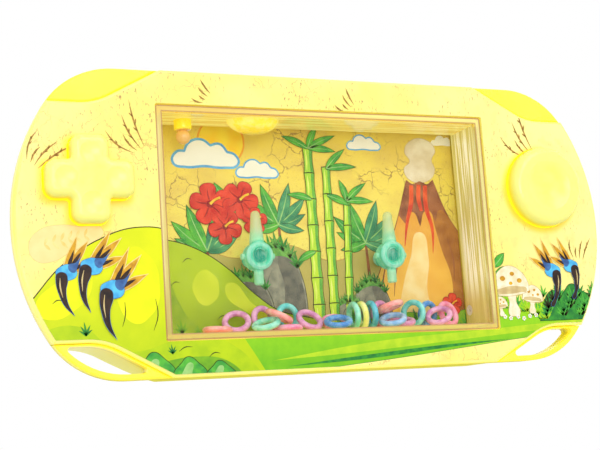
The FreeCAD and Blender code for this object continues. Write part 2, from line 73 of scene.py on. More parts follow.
# The photograph's camera: its lens, its turns in degrees, and its place from the window's middle
camera_lens = 72.66
camera_turns = (-23.71, -9.336, -3.934)
camera_away, camera_right, camera_up = 313.5, 9.165, 1.061

# Shares in the colour of light that plastics let through, and how far it goes, in metres
case_glow_reach = (0.005, 0.0045, 0.001)
ring_glow_reach = (0.002, 0.002, 0.002)


def middle_of(node):
    """The middle of a CAD node's box, in millimetres."""
    low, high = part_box(node)
    return (low + high) / 2 / MM


cross_at = middle_of("dpad_button")
disc_at = middle_of("round_button")


# Picking and shaping

def pick(*pieces):
    """Only these pieces are selected, and the first is the active one."""
    bpy.ops.object.select_all(action="DESELECT")
    for piece in pieces:
        piece.select_set(True)
    bpy.context.view_layer.objects.active = pieces[0]


@contextlib.contextmanager
def editing(piece):
    """Edit mode, with the whole piece selected."""
    pick(piece)
    bpy.ops.object.mode_set(mode="EDIT")
    bpy.ops.mesh.select_all(action="SELECT")
    yield
    bpy.ops.object.mode_set(mode="OBJECT")


def linked(piece):
    """The object, put into the scene."""
    bpy.context.scene.collection.objects.link(piece)
    return piece


def copy_of(node, name):
    """An object of its own with a copy of a CAD node's mesh."""
    return linked(bpy.data.objects.new(name, nodes[node].data.copy()))


def settle(piece):
    """The piece's place goes into its mesh, so that its object sits at the origin."""
    pick(piece)
    bpy.ops.object.transform_apply(location=True, rotation=True, scale=True)


def joined(name, pieces):
    """Several pieces as one."""
    pick(*pieces)
    bpy.ops.object.join()
    whole = bpy.context.view_layer.objects.active
    whole.name = name
    whole.data.name = name
    return whole


def keep_faces(piece, wanted):
    """Deletes every face of a piece that isn't wanted."""
    with editing(piece):
        bpy.ops.mesh.select_mode(type="FACE")
        bpy.ops.mesh.remove_doubles(threshold=1e-7)
        bpy.ops.mesh.select_all(action="DESELECT")
    for face in piece.data.polygons:
        face.select = not wanted(face)
    bpy.ops.object.mode_set(mode="EDIT")
    bpy.ops.mesh.delete(type="FACE")
    bpy.ops.object.mode_set(mode="OBJECT")


# Colours and finishes

def srgb(red, green, blue):
    """A colour as it is seen on a screen, 0 to 255, made linear."""
    made = []
    for value in (red, green, blue):
        share = value / 255
        made.append(share / 12.92 if share <= 0.04045 else ((share + 0.055) / 1.055) ** 2.4)
    return (*made, 1.0)


def node_in(tree, kind, inputs=None, **settings):
    """A node added to a tree, its inputs linked or set."""
    node = tree.nodes.new("ShaderNode" + kind)
    for key, value in settings.items():
        setattr(node, key, value)
    for socket, value in (inputs or {}).items():
        if isinstance(value, bpy.types.NodeSocket):
            tree.links.new(value, node.inputs[socket])
        else:
            node.inputs[socket].default_value = value
    return node


class Finish:
    """A material whose nodes are added one after another."""

    def __init__(self, name, roughness=0.4, **sockets):
        self.material = bpy.data.materials.new(name)
        self.material.use_nodes = True
        self.tree = self.material.node_tree
        self.shader = self.tree.nodes["Principled BSDF"]
        self.set(Roughness=roughness, **sockets)

    def set(self, **sockets):
        """Plain values for sockets of the shader."""
        for socket, value in sockets.items():
            self.shader.inputs[socket.replace("_", " ")].default_value = value

    def add(self, kind, inputs=None, **settings):
        return node_in(self.tree, kind, inputs, **settings)

    def place(self, offset=(0, 0, 0), stretch=(1, 1, 1)):
        """Object coordinates in millimetres, moved and stretched."""
        spot = self.add("TexCoord").outputs["Object"]
        scale = tuple(side / MM for side in stretch)
        moved = tuple(-side * share for side, share in zip(offset, stretch))
        return self.add("Mapping", {"Vector": spot, "Location": moved, "Scale": scale}).outputs[0]

    def axes(self):
        """The place along X, Y and Z in millimetres."""
        return self.add("SeparateXYZ", {"Vector": self.place()}).outputs

    def noise(self, scale, detail=3.0, stretch=(1, 1, 1), offset=(0, 0, 0)):
        spot = self.place(offset, stretch)
        return self.add("TexNoise", {"Vector": spot, "Scale": scale, "Detail": detail}).outputs[0]

    def cracks(self, scale, width, offset=(0, 0, 0)):
        """Fine branching lines of a width in millimetres, in patches: 1 on a line."""
        spot = self.place(offset)
        wander = self.add("TexNoise", {"Vector": spot, "Scale": 0.4, "Detail": 3.0}).outputs[1]
        moved = self.add("VectorMath", {0: wander, 1: (3.5, 3.5, 3.5)}, operation="MULTIPLY").outputs[0]
        bent = self.add("VectorMath", {0: spot, 1: moved}, operation="ADD").outputs[0]
        cells = self.add("TexVoronoi", {"Vector": bent, "Scale": scale}, feature="DISTANCE_TO_EDGE")
        line = self.ease(cells.outputs["Distance"], width * scale, width * scale * 0.3)
        patch = self.ease(self.noise(0.08, 2.0, (1, 1, 1), offset), 0.47, 0.58)
        return self.times(line, patch)

    def sum(self, kind, first, second=0.0, third=0.0, clamp=False):
        node = self.add("Math", {0: first, 1: second, 2: third}, operation=kind, use_clamp=clamp)
        return node.outputs[0]

    def times(self, first, second):
        return self.sum("MULTIPLY", first, second)

    def less(self, first, second):
        return self.sum("SUBTRACT", first, second)

    def most(self, first, second):
        return self.sum("MAXIMUM", first, second)

    def gap(self, first, second):
        """How far apart two places on one axis are."""
        return self.sum("ABSOLUTE", self.less(first, second))

    def reach(self, across, up):
        """The straight distance of two steps at right angles."""
        return self.sum("SQRT", self.sum("MULTIPLY_ADD", across, across, self.times(up, up)))

    def ease(self, value, start, end, low=0.0, high=1.0):
        """low before start, high after end, and smooth between them."""
        node = self.add("MapRange", {"Value": value, "From Min": start, "From Max": end,
                                     "To Min": low, "To Max": high},
                        interpolation_type="SMOOTHSTEP")
        return node.outputs[0]

    def blend(self, share, first, second):
        return self.add("Mix", {0: share, 6: first, 7: second}, data_type="RGBA").outputs[2]

    def clouds(self, scale, detail, low, high, first, second):
        """Two colours that drift into each other."""
        return self.blend(self.ease(self.noise(scale, detail), low, high), srgb(*first), srgb(*second))

    def link(self, value, socket):
        self.tree.links.new(value, self.shader.inputs[socket])

    def paint(self, colour, glow=None):
        """The colour, and the strength of a glow in it where there is one."""
        self.link(colour, "Base Color")
        if glow:
            self.link(colour, "Emission Color")
            self.set(Emission_Strength=glow)

    def bumps(self, height, strength):
        bump = self.add("Bump", {"Height": height, "Strength": strength, "Distance": 0.05 * MM})
        self.link(bump.outputs[0], "Normal")


def ink(name, light, dark, grain=0.35, fall=None, roughness=0.38):
    """A printing ink that drifts between two tones, and from one to the other down a fall."""
    finish = Finish(name, roughness)
    drift = finish.ease(finish.noise(grain, 4.0), 0.3, 0.7)
    if fall:
        height = finish.axes()[2]
        slope = finish.ease(height, *fall)
        drift = finish.sum("MULTIPLY_ADD", drift, 0.35, finish.times(slope, 0.75), True)
    tone = finish.blend(drift, srgb(*dark), srgb(*light))
    speck = finish.ease(finish.noise(3.5, 2.0), 0.62, 0.75, 0.0, 0.12)
    finish.set(Specular_IOR_Level=0.2)
    finish.paint(finish.blend(speck, tone, srgb(*dark)))
    return finish.material


# The two tones of each ink, how fine it drifts, and the heights between which it changes
INK_TONES = {
    "outline": ((52, 60, 16), (34, 40, 12)),
    "bark": ((62, 44, 34), (34, 26, 26), 0.6),
    "hill": ((226, 232, 16), (182, 208, 20), 0.12, (4, 30)),
    "hill_glow": ((240, 240, 18), (228, 234, 16), 0.2),
    "hill_shade": ((188, 214, 20), (164, 198, 22), 0.2),
    "hill_dark": ((128, 184, 34), (100, 160, 38), 0.3),
    "knoll": ((182, 206, 36), (142, 172, 32), 0.12, (8, 32)),
    "knoll_glow": ((212, 224, 50), (198, 214, 44), 0.2),
    "knoll_shade": ((156, 184, 38), (132, 168, 38), 0.2),
    "gold": ((228, 176, 44), (190, 132, 34), 0.5),
    "pale_gold": ((250, 226, 150), (240, 204, 110), 0.5),
    "sky_blue": ((96, 202, 240), (66, 160, 220), 0.5),
    "deep_blue": ((74, 120, 178), (52, 84, 140), 0.5),
    "grass": ((150, 212, 30), (112, 186, 30), 0.3, (2, 12)),
    "grass_light": ((192, 222, 42), (164, 208, 36), 0.3),
    "grass_dark": ((62, 156, 52), (34, 112, 52), 0.5),
    "leaf": ((96, 190, 60), (52, 146, 62), 0.4),
    "leaf_teal": ((88, 168, 108), (48, 128, 88), 0.3),
    "leaf_pale": ((170, 214, 130), (128, 188, 100), 0.3),
    "cream": ((252, 244, 214), (236, 220, 172), 0.5),
    "cream_shade": ((222, 200, 140), (198, 172, 116), 0.5),
    "white": ((255, 254, 246), (240, 242, 226), 0.5),
    "sprig": ((196, 152, 74), (150, 108, 44), 0.8),
    "sun": ((255, 228, 60), (252, 204, 40), 0.2),
    "sun_edge": ((244, 168, 48), (236, 146, 40), 0.2),
    "cloud_edge": ((110, 190, 226), (84, 160, 210), 0.4),
    "cloud": ((255, 252, 232), (240, 240, 214), 0.2, (52, 64)),
    "ridge": ((206, 190, 92), (178, 166, 84), 0.15, (30, 44)),
    "slope": ((244, 190, 76), (222, 146, 50), 0.16, (54, 18)),
    "slope_pale": ((250, 226, 158), (244, 206, 122), 0.2),
    "slope_shade": ((196, 130, 58), (160, 98, 46), 0.2),
    "cinder": ((168, 104, 64), (122, 66, 44), 0.3),
    "lava": ((236, 96, 44), (204, 54, 34), 0.4),
    "smoke": ((246, 236, 206), (222, 204, 160), 0.2),
    "meadow": ((140, 196, 48), (96, 164, 44), 0.1, (8, 18)),
    "water": ((120, 206, 232), (70, 160, 214), 0.2),
    "boulder": ((162, 160, 134), (122, 124, 106), 0.35),
    "boulder_side": ((124, 122, 104), (92, 94, 84), 0.4),
    "moss": ((120, 186, 78), (78, 146, 62), 0.6),
    "cane": ((200, 230, 58), (158, 212, 60), 0.3, (58, 16)),
    "cane_glow": ((230, 242, 120), (216, 236, 90), 0.3),
    "cane_shade": ((112, 186, 66), (88, 164, 62), 0.3),
    "sprig_pale": ((236, 206, 130), (226, 192, 116), 0.5),
    "fossil": ((250, 228, 158), (247, 220, 146), 0.3),
    "petal": ((232, 74, 50), (200, 40, 34), 0.4),
    "petal_deep": ((168, 30, 30), (132, 22, 28), 0.4),
    "pollen": ((250, 214, 70), (232, 178, 44), 0.5),
}
INKS = {name: ink("ink_" + name, *tones) for name, tones in INK_TONES.items()}


# Printed pictures

class Picture:
    """A picture printed in flat inks on an upright plane. Each layer lies a hair in front of
    the one under it."""

    def __init__(self, name, plane):
        self.name = name
        self.plane = plane
        self.shapes = []

    def cut(self, outline, colour, layer, sharp=(), swell=0.0, smooth=8):
        """One flat shape in one ink, smooth through its points but for the sharp ones."""
        curve = bpy.data.curves.new(self.name, "CURVE")
        curve.dimensions = "2D"
        curve.fill_mode = "BOTH"
        curve.resolution_u = smooth
        curve.offset = swell * MM
        line = curve.splines.new("BEZIER")
        line.bezier_points.add(len(outline) - 1)
        for count, spot in enumerate(line.bezier_points):
            across, up = outline[count]
            spot.co = (across * MM, up * MM, 0)
            kind = "VECTOR" if count in sharp else "AUTO"
            spot.handle_left_type = kind
            spot.handle_right_type = kind
        line.use_cyclic_u = True
        curve.materials.append(INKS[colour])
        shape = linked(bpy.data.objects.new(self.name, curve))
        shape.rotation_euler = (math.pi / 2, 0, 0)
        shape.location = (0, (self.plane - layer_step * (layer + 1)) * MM, 0)
        self.shapes.append((shape, outline))

    def lay(self, outline, colour, layer, sharp, edge, edge_ink="outline"):
        """A shape with an edge of another ink under it."""
        self.cut(outline, edge_ink, layer - 0.5, sharp, edge)
        self.cut(outline, colour, layer, sharp)

    def stroke(self, points, widths, colour, layer):
        """A brush stroke through points, as wide at each as widths says."""
        left, right = [], []
        for count, (x, z) in enumerate(points):
            before = points[max(count - 1, 0)]
            after = points[min(count + 1, len(points) - 1)]
            along = Vector((after[0] - before[0], after[1] - before[1])).normalized()
            side = Vector((-along.y, along.x)) * widths[count] / 2
            left.append((x + side.x, z + side.y))
            right.append((x - side.x, z - side.y))
        self.cut(left + right[::-1], colour, layer, (0, len(left) - 1, len(left), 2 * len(left) - 1),
                 smooth=4)

    def finished(self, clip):
        """The shapes as one mesh. Those that run over the edge of the plate are cut back to it."""
        ahead = Vector((0, 1, 0))
        shapes = [shape for shape, outline in self.shapes]
        over = [shape for shape, outline in self.shapes
                if not all(clip.ray_cast(Vector((x * MM, -1, z * MM)), ahead)[0] for x, z in outline)]
        for shape in over:
            shape.data.extrude = cut_depth * MM
            shape.location.y += cut_depth * MM
        pick(*shapes)
        bpy.ops.object.convert(target="MESH")
        bpy.ops.object.transform_apply(location=True, rotation=True, scale=True)
        for shape in over:
            front = min(vertex.co.y for vertex in shape.data.vertices)
            with editing(shape):
                bpy.ops.mesh.remove_doubles(threshold=1e-6)
                bpy.ops.mesh.normals_make_consistent(inside=False)
            cutter = shape.modifiers.new("edge of the sheet", "BOOLEAN")
            cutter.operation = "INTERSECT"
            cutter.solver = "EXACT"
            cutter.object = clip
            bpy.ops.object.modifier_apply(modifier=cutter.name)
            keep_faces(shape, lambda face: face.normal.y < -0.9 and abs(face.center.y - front) < 1e-5)
        return joined(self.name, shapes)


def turned(points, x, z, angle, size=1.0, flip=1):
    """Points of a motif, sized, turned and put in its place."""
    c, s = math.cos(math.radians(angle)), math.sin(math.radians(angle))
    made = []
    for across, up in points:
        across, up = across * size * flip, up * size
        made.append((x + across * c - up * s, z + across * s + up * c))
    return made if flip > 0 else made[::-1]


def round_shape(x, z, wide, tall, count=10, wobble=0.0):
    """A round or oval outline, a little uneven if it wobbles."""
    made = []
    for step in range(count):
        angle = 2 * math.pi * step / count
        reach = 1 + wobble * math.sin(step * 2.4)
        made.append((x + wide * reach * math.cos(angle), z + tall * reach * math.sin(angle)))
    return made


def blade(length, width, bend):
    """A pointed leaf along +X that bows up by bend."""
    top, under = [], []
    for share, full in ((0.0, 0.12), (0.22, 0.78), (0.5, 1.0), (0.78, 0.62)):
        rise = bend * share ** 2
        top.append((length * share, rise + width * full / 2))
        under.append((length * share, rise - width * full / 2))
    return top + [(length, bend)] + under[::-1]


def leaf(art, x, z, angle, length, width, bend, colour, layer, edge=0.12):
    """A pointed leaf with a pale rib."""
    art.lay(turned(blade(length, width, bend), x, z, angle), colour, layer, (4,), edge)
    line = [(0, 0), (length * 0.5, bend * 0.25), (length * 0.92, bend * 0.85)]
    art.stroke(turned(line, x, z, angle), (width * 0.11, width * 0.08, 0.05), "leaf_pale", layer + 0.4)


def tuft(art, x, z, size, colour, layer, lean=0):
    """A tuft of five grass blades."""
    for angle, length, bend in ((62, 0.7, -0.22), (76, 0.95, -0.14), (92, 1.15, 0.1), (108, 0.9, 0.16),
            (124, 0.68, 0.22)):
        outline = turned(blade(length * size, size * 0.17, bend * size), x, z, angle + lean)
        art.cut(outline, colour, layer, (4,), smooth=4)


def dry_grass(art, x, z, angle, size, layer):
    """A few dry grass blades that fan out from one root, each broken by a joint or two."""
    for count in range(4):
        lean = angle + (count - 1.5) * 11
        length = size * (0.72 + 0.28 * math.sin(1.2 + count * 1.7))
        bow = length * (0.05 + 0.03 * count)
        start = turned([(0.0, (count - 1.5) * 1.1)], x, z, angle)[0]
        line = [(0, 0), (length * 0.3, bow * 0.75), (length * 0.62, bow), (length, bow * 0.4)]
        art.stroke(turned(line, *start, lean), (0.08, 0.34, 0.46, 0.05), "sprig", layer)
        for share, side in ((0.34, 1), (0.5, -1), (0.66, 1)):
            spot = turned([(length * share, bow * 0.85)], *start, lean)[0]
            art.cut(turned(blade(length * 0.12, length * 0.035, 0.1), *spot, lean + side * 28), "sprig",
                    layer, (4,), smooth=3)


def crested_flower(art, x, z, angle, size, layer, flip=1):
    """A crane flower: a dark beak-like sheath, a blue tongue and a gold crest above them."""
    def put(points):
        return turned(points, x, z, angle, size, flip)

    crest = [[(-0.4, 0.3), (0.4, 2.6), (2.0, 5.6), (4.1, 8.0), (3.2, 4.6), (1.9, 1.6), (0.9, 0.2)],
            [(-0.6, 0.6), (-0.6, 3.0), (0.2, 5.8), (1.4, 8.8), (1.4, 5.2), (1.0, 2.4), (0.6, 0.6)],
            [(0.2, 0.2), (1.6, 1.6), (3.6, 3.4), (6.2, 4.6), (4.4, 2.2), (2.6, 0.6), (1.2, -0.2)]]
    for count, petal in enumerate(crest):
        art.lay(put(petal), "gold", layer + count * 0.3, (3,), 0.2, "pale_gold")
    for petal in crest:
        inner = [(a * 0.72 + 0.25, b * 0.72 + 0.25) for a, b in petal]
        art.cut(put(inner), "bark", layer + 1.1, (3,), -0.18, 5)
    tongue = [(-2.6, -0.2), (-1.5, 1.3), (0.2, 2.0), (1.9, 1.2), (2.3, -0.3), (1.1, -1.5), (-1.0, -1.7)]
    art.lay(put(tongue), "sky_blue", layer + 2, (), 0.1, "deep_blue")
    art.cut(put([(0.1, 1.7), (1.8, 2.7), (2.9, 4.4), (2.3, 1.6), (1.6, 0.2)]), "deep_blue",
            layer + 2.3, (2,))
    sheath = [(-2.2, -0.5), (-0.4, -0.2), (0.3, -1.6), (0.2, -4.2), (1.0, -7.2), (2.6, -9.6), (0.4, -7.9),
            (-1.3, -5.2), (-2.3, -2.4)]
    art.lay(put(sheath), "bark", layer + 3, (5,), 0.1, "deep_blue")
    art.stroke(put([(-1.5, -1.4), (-1.2, -3.6), (-0.3, -6.0)]), (0.1, 0.35, 0.05), "cream_shade",
            layer + 3.5)


def mushroom(art, x, z, size, layer, angle):
    """A pale mushroom with a spotted cap."""
    def put(points):
        return turned(points, x, z, angle, size)

    stem = [(-0.9, 0), (-0.6, 2.0), (-0.7, 4.2), (0.7, 4.2), (0.6, 2.0), (1.0, 0), (0, -0.3)]
    art.lay(put(stem), "cream", layer, (), 0.12, "cream_shade")
    cap = [(-3.4, 3.6), (-3.0, 5.6), (-1.4, 7.4), (0.3, 7.8), (2.2, 6.8), (3.3, 5.0), (3.4, 3.5),
            (1.6, 3.1), (-1.6, 3.1)]
    art.lay(put(cap), "cream", layer + 1, (0, 6), 0.14, "cream_shade")
    art.cut(put([(-3.0, 3.7), (-1.5, 3.4), (1.5, 3.4), (3.0, 3.7), (1.4, 4.4), (-1.4, 4.4)]),
            "cream_shade", layer + 1.4)
    for dx, dz, r in ((-1.3, 5.9, 0.5), (0.6, 6.5, 0.42), (1.8, 5.3, 0.46), (0.1, 5.0, 0.34)):
        art.cut(round_shape(*put([(dx, dz)])[0], r * size, r * size * 0.8, 7), "gold", layer + 1.6)


def blossom(art, x, z, size, turn, layer):
    """A five-petalled flower seen from the front."""
    petal = [(0, 0), (0.42, 0.36), (0.95, 0.5), (1.18, 0.12), (1.02, -0.34), (0.46, -0.3)]
    for count in range(5):
        outline = turned(petal, x, z, turn + count * 72, size)
        art.lay(outline, "petal", layer + count * 0.24, (0,), 0.16, "petal_deep")
        line = [(0.25, 0.03), (0.62, 0.1), (0.95, 0.08)]
        art.stroke(turned(line, x, z, turn + count * 72, size), (0.08 * size, 0.06 * size, 0.03),
                "petal_deep", layer + 1.3)
    art.cut(round_shape(x, z, size * 0.22, size * 0.22, 8), "petal_deep", layer + 1.5)
    art.stroke([(x, z), (x + size * 0.3, z + size * 0.25), (x + size * 0.62, z + size * 0.38)],
            (0.16 * size, 0.13 * size, 0.14 * size), "pollen", layer + 1.8)


def boulder(art, x, z, wide, tall, layer):
    """A grey stone with a darker side and a mossy head."""
    body = [(x - wide, z), (x - wide * 0.9, z + tall * 0.56), (x - wide * 0.42, z + tall * 0.96),
            (x + wide * 0.22, z + tall), (x + wide * 0.8, z + tall * 0.66), (x + wide, z)]
    art.lay(body, "boulder", layer, (0, 5), 0.16)
    side = [(x + wide * 0.06, z), (x + wide * 0.2, z + tall * 0.5), (x + wide * 0.05, z + tall * 0.88),
            (x + wide * 0.24, z + tall * 0.97), (x + wide * 0.76, z + tall * 0.64), (x + wide * 0.96, z)]
    art.cut(side, "boulder_side", layer + 0.3, (0, 5))
    art.stroke([(x - wide * 0.5, z + tall * 0.3), (x - wide * 0.4, z + tall * 0.55),
            (x - wide * 0.2, z + tall * 0.7)], (0.08, 0.3, 0.08), "boulder_side", layer + 0.35)
    for count in range(7):
        share = count / 6
        spot = (x - wide * 0.72 + wide * 1.42 * share, z + tall * (0.72 + 0.24 * math.sin(math.pi * share)))
        tuft(art, *spot, tall * 0.15 + 0.9, "moss" if count % 2 else "grass_dark",
                layer + 0.6 + count * 0.02)
    art.cut([(x - wide * 0.8, z + tall * 0.7), (x - wide * 0.4, z + tall),
            (x + wide * 0.22, z + tall * 1.03), (x + wide * 0.76, z + tall * 0.72),
            (x + wide * 0.3, z + tall * 0.86), (x - wide * 0.3, z + tall * 0.84)], "moss",
            layer + 0.5, (0, 3))


def cane(art, x, z, tall, width, lean, layer, joints=6):
    """A bamboo cane: joints a little narrower in their middle, lit on the left, shaded on the right."""
    for count in range(joints):
        foot, head = x + lean * count / joints, x + lean * (count + 1) / joints
        low, high = z + tall * count / joints, z + tall * (count + 1) / joints
        half = width / 2 * (1 - 0.2 * count / joints)
        middle, level = (foot + head) / 2, (low + high) / 2
        waist = half * 0.84
        outline = [(foot - half, low), (middle - waist, level), (head - half, high), (head + half, high),
                (middle + waist, level), (foot + half, low)]
        art.lay(outline, "cane", layer + count % 2 * 0.1, (0, 2, 3, 5), 0.18)
        shade = [(foot + half * 0.35, low + 0.2), (middle + waist * 0.3, level),
                (head + half * 0.35, high - 0.2), (head + half * 0.96, high - 0.1),
                (middle + waist * 0.96, level), (foot + half * 0.96, low + 0.1)]
        art.cut(shade, "cane_shade", layer + 0.4, (0, 2, 3, 5))
        art.stroke([(foot - half * 0.45, low + 0.7), (middle - waist * 0.45, level),
                (head - half * 0.45, high - 0.7)], (0.1, half * 0.42, 0.1), "cane_glow", layer + 0.4)
        art.stroke([(head - half * 1.12, high), (head, high + 0.14), (head + half * 1.12, high)],
                (0.24, 0.3, 0.24), "outline", layer + 0.6)


def cloud(art, x, z, size, layer):
    """A puffy cloud with a flat foot."""
    puffs = [(-5.2, 0), (-4.6, 1.5), (-3.2, 1.7), (-2.4, 3.1), (-0.4, 3.7), (1.2, 2.7), (2.8, 3.0),
            (4.0, 1.7), (5.4, 1.2), (5.8, 0), (3.4, -0.6), (0, -0.4), (-3.2, -0.6)]
    art.lay(turned(puffs, x, z, 0, size), "cloud", layer, (2, 5, 7), 0.42 * size, "cloud_edge")


def broad_plant(art, x, z, size, layer, leaves):
    """A plant of broad arching leaves that rise from one foot."""
    for count, (angle, length, width, bend) in enumerate(leaves):
        leaf(art, x, z, angle, length * size, width * size, bend * size,
                "leaf_teal" if count % 2 else "leaf", layer + count * 0.25)


def valley_picture():
    """The picture on the card behind the tank: a lime hill, boulders, bamboo and a volcano."""
    art = Picture("valley_picture", card_plane)
    art.lay(round_shape(-24.5, 62.4, 6.2, 6.2, 14), "sun", 0, (), 0.5, "sun_edge")
    cloud(art, -29.5, 56.6, 1.6, 1)
    cloud(art, -15.0, 53.6, 1.05, 1.6)
    cloud(art, 17.5, 62.0, 0.9, 1)
    cloud(art, 43, 63.6, 0.7, 1)
    art.lay([(-47, 8), (-47, 30), (-34, 34), (-22, 31), (-8, 34.5), (6, 30), (16, 33), (30, 30), (47, 31),
            (47, 8)], "ridge", 2, (0, 1, 8, 9), 0.12, "slope_shade")
    broad_plant(art, -30, 33, 1.0, 2.6, ((172, 9, 3.2, -2.0), (12, 9, 3.2, 1.8), (148, 12, 3.4, -1.6),
            (38, 12, 3.4, 1.8), (118, 13, 3.4, -1.2), (66, 13, 3.4, 1.2)))
    broad_plant(art, -9.5, 40, 0.9, 2.6, ((176, 9, 3.0, -2.4), (6, 9, 3.0, 2.2), (150, 12, 3.4, -1.8),
            (34, 12, 3.4, 1.8), (118, 13, 3.4, -1.2), (66, 13, 3.4, 1.4), (204, 8, 2.8, -1.6),
            (-24, 8, 2.8, 1.6)))
    broad_plant(art, 16, 35, 0.95, 2.6, ((176, 9, 3.0, -2.4), (4, 9, 3.0, 2.2), (150, 12, 3.4, -1.8),
            (32, 12, 3.4, 1.8), (116, 13, 3.4, -1.2), (64, 13, 3.4, 1.4), (206, 8, 2.8, -1.6),
            (-26, 8, 2.8, 1.6)))
    for x, low, high in ((-30, 16, 34), (-9.5, 16, 41), (16, 16, 36)):
        art.stroke([(x + 0.8, low), (x + 0.5, (low + high) / 2), (x, high)], (1.2, 0.95, 0.7), "cinder",
                2.5)
    smoke = [(31.6, 53), (30, 56), (32, 58.4), (30.6, 61.2), (33, 64.4), (37.4, 64.8), (40.4, 62),
            (39, 58.8), (39.8, 56), (37.6, 53)]
    art.lay(smoke, "smoke", 2.7, (), 0.16, "cream_shade")
    mountain = [(14, 12), (19.4, 26), (25.6, 39), (30.4, 52.6), (32.4, 51.6), (34.6, 52.6), (36.8, 51.6),
            (38.8, 52.8), (42.6, 43), (47, 36), (47, 12)]
    art.lay(mountain, "slope", 3, (0, 3, 7, 9, 10), 0.22, "cinder")
    art.cut([(24.2, 12), (26.4, 22), (29.8, 31), (33.2, 38), (35.4, 31), (34.2, 21), (36.8, 12)],
            "slope_pale", 3.3, (0, 6))
    art.cut([(38.8, 52.8), (42.6, 43), (47, 36), (47, 12), (41, 12), (42.4, 24), (39.6, 34), (37.8, 44)],
            "slope_shade", 3.4, (0, 2, 3, 4))
    art.cut([(27.0, 42.8), (30.4, 52.6), (32.4, 51.6), (34.6, 52.6), (36.8, 51.6), (38.8, 52.8),
            (42.8, 42.6), (40.4, 44.4), (38.8, 41), (36.2, 44.2), (33.6, 39.6), (31.2, 43.8),
            (28.9, 40.4)], "cinder", 3.6, (0, 1, 5, 6, 8, 10, 12))
    for run in ([(31.8, 51.4), (31.2, 46), (29.6, 41), (28.2, 34)], [(36.2, 51.4), (36.0, 45), (37.4, 39),
            (37.0, 32)], [(34.2, 51.6), (33.8, 47.4), (34.4, 44)]):
        art.stroke(run, [1.3, 1.4, 1.0, 0.2][:len(run)], "lava", 3.9)
    for run in ([(22, 30), (20.4, 24), (19.4, 19)], [(26.8, 33), (24.6, 26), (23.6, 20)], [(42, 36),
            (43.4, 30), (43, 24)]):
        art.stroke(run, (0.12, 0.42, 0.12), "cinder", 3.9)
    boulder(art, -10.6, 12, 8.2, 22.4, 4.6)
    boulder(art, -20.4, 12, 8.6, 14.6, 5.6)
    boulder(art, 16.8, 12, 6.0, 12.6, 4.6)
    boulder(art, 9.8, 12, 4.6, 7.6, 5.6)
    cane(art, 9.6, 11, 36, 2.4, 1.6, 6.0, 5)
    cane(art, 5.2, 11, 45, 2.9, 0.4, 6.8)
    cane(art, 0.8, 11, 50.5, 3.3, -0.4, 7.6, 7)
    for x, z, angle, length in ((0.5, 61.2, 32, 9), (0.5, 61.2, 4, 8), (0.5, 61.2, 148, 8),
            (0.5, 61.2, 74, 7), (5.6, 55.6, 52, 8), (5.6, 55.6, 12, 9), (5.4, 48.2, -14, 7),
            (11.0, 46.6, 48, 8), (11.0, 46.6, 8, 8), (11.1, 46.6, 96, 6), (0.6, 47, 160, 7),
            (0.7, 32.6, 196, 6)):
        leaf(art, x, z, angle, length, 1.9, -1.2 if angle < 90 else 1.2, "leaf", 8.6, 0.1)
    hill = [(-47, 8), (-47, 36.2), (-41, 35.8), (-33, 33.4), (-25, 28.4), (-17.6, 21.4), (-10.8, 16.8),
            (-3.6, 15.0), (4, 13.2), (12, 8)]
    art.lay(hill, "knoll", 9.4, (0, 1, 9), 0.24)
    art.cut([(-47, 8), (-47, 30), (-41.6, 27), (-38.6, 20), (-34.6, 14), (-28, 10.6), (-16, 10), (0, 8)],
            "knoll_shade", 9.8, (0, 1, 7))
    art.cut(round_shape(-31, 23.4, 3.6, 4.6, 12, 0.03), "knoll_glow", 9.8)
    art.cut([(-24.6, 24.6), (-18, 18.6), (-11.6, 15), (-13.4, 14), (-20.4, 17), (-25.8, 22)], "knoll_glow",
            9.8)
    for run in ([(-37, 30), (-35.8, 31), (-34.4, 30.8)], [(-28.4, 15), (-27, 16), (-25.6, 15.8)],
            [(-40.4, 24), (-39.2, 25), (-38, 24.8)], [(-19, 13.6), (-17.6, 14.4), (-16.2, 14.2)]):
        art.stroke(run, (0.08, 0.22, 0.08), "outline", 10.2)
    meadow = [(7, 8), (11, 12.6), (19, 14.2), (28, 15.4), (36, 14.2), (47, 16), (47, 8)]
    art.lay(meadow, "meadow", 10.4, (0, 5, 6), 0.14, "grass_dark")
    stream = [(24, 8), (21, 10.4), (23.4, 12.6), (20.6, 14.4), (22.8, 14.9), (26.6, 12.8), (25.6, 10.4),
            (30, 8)]
    art.lay(stream, "water", 10.8, (0, 3, 4, 7), 0.2, "cloud")
    for angle, length in ((150, 8), (184, 8), (214, 7), (24, 8), (-8, 7), (64, 7), (108, 7)):
        leaf(art, -24.4, 44.6, angle, length, 2.9, 0.6, "leaf", 10.8)
    blossom(art, -28.6, 45.4, 4.7, 20, 11.4)
    blossom(art, -20.2, 46.6, 4.3, -12, 11.4)
    blossom(art, -24.8, 39.4, 3.9, 48, 11.8)
    blossom(art, -16.4, 41.0, 3.0, 8, 11.8)
    blossom(art, 41.6, 17.4, 2.6, 8, 12.2)
    for count in range(13):
        x = 8.6 + count * 3.1
        size = 4.4 + 1.8 * math.sin(count * 2.1)
        tuft(art, x, 10.0, size, "grass_dark" if count % 2 else "leaf", 11.4 + count % 2 * 0.4,
                7 * math.sin(count))
    for x, z, size in ((-38, 11.6, 3.4), (-33.6, 11, 2.6), (-24, 10.8, 2.8), (-14.6, 11, 3.0),
            (-6, 11.2, 2.6)):
        tuft(art, x, z, size, "hill_dark", 10.4)
    return art


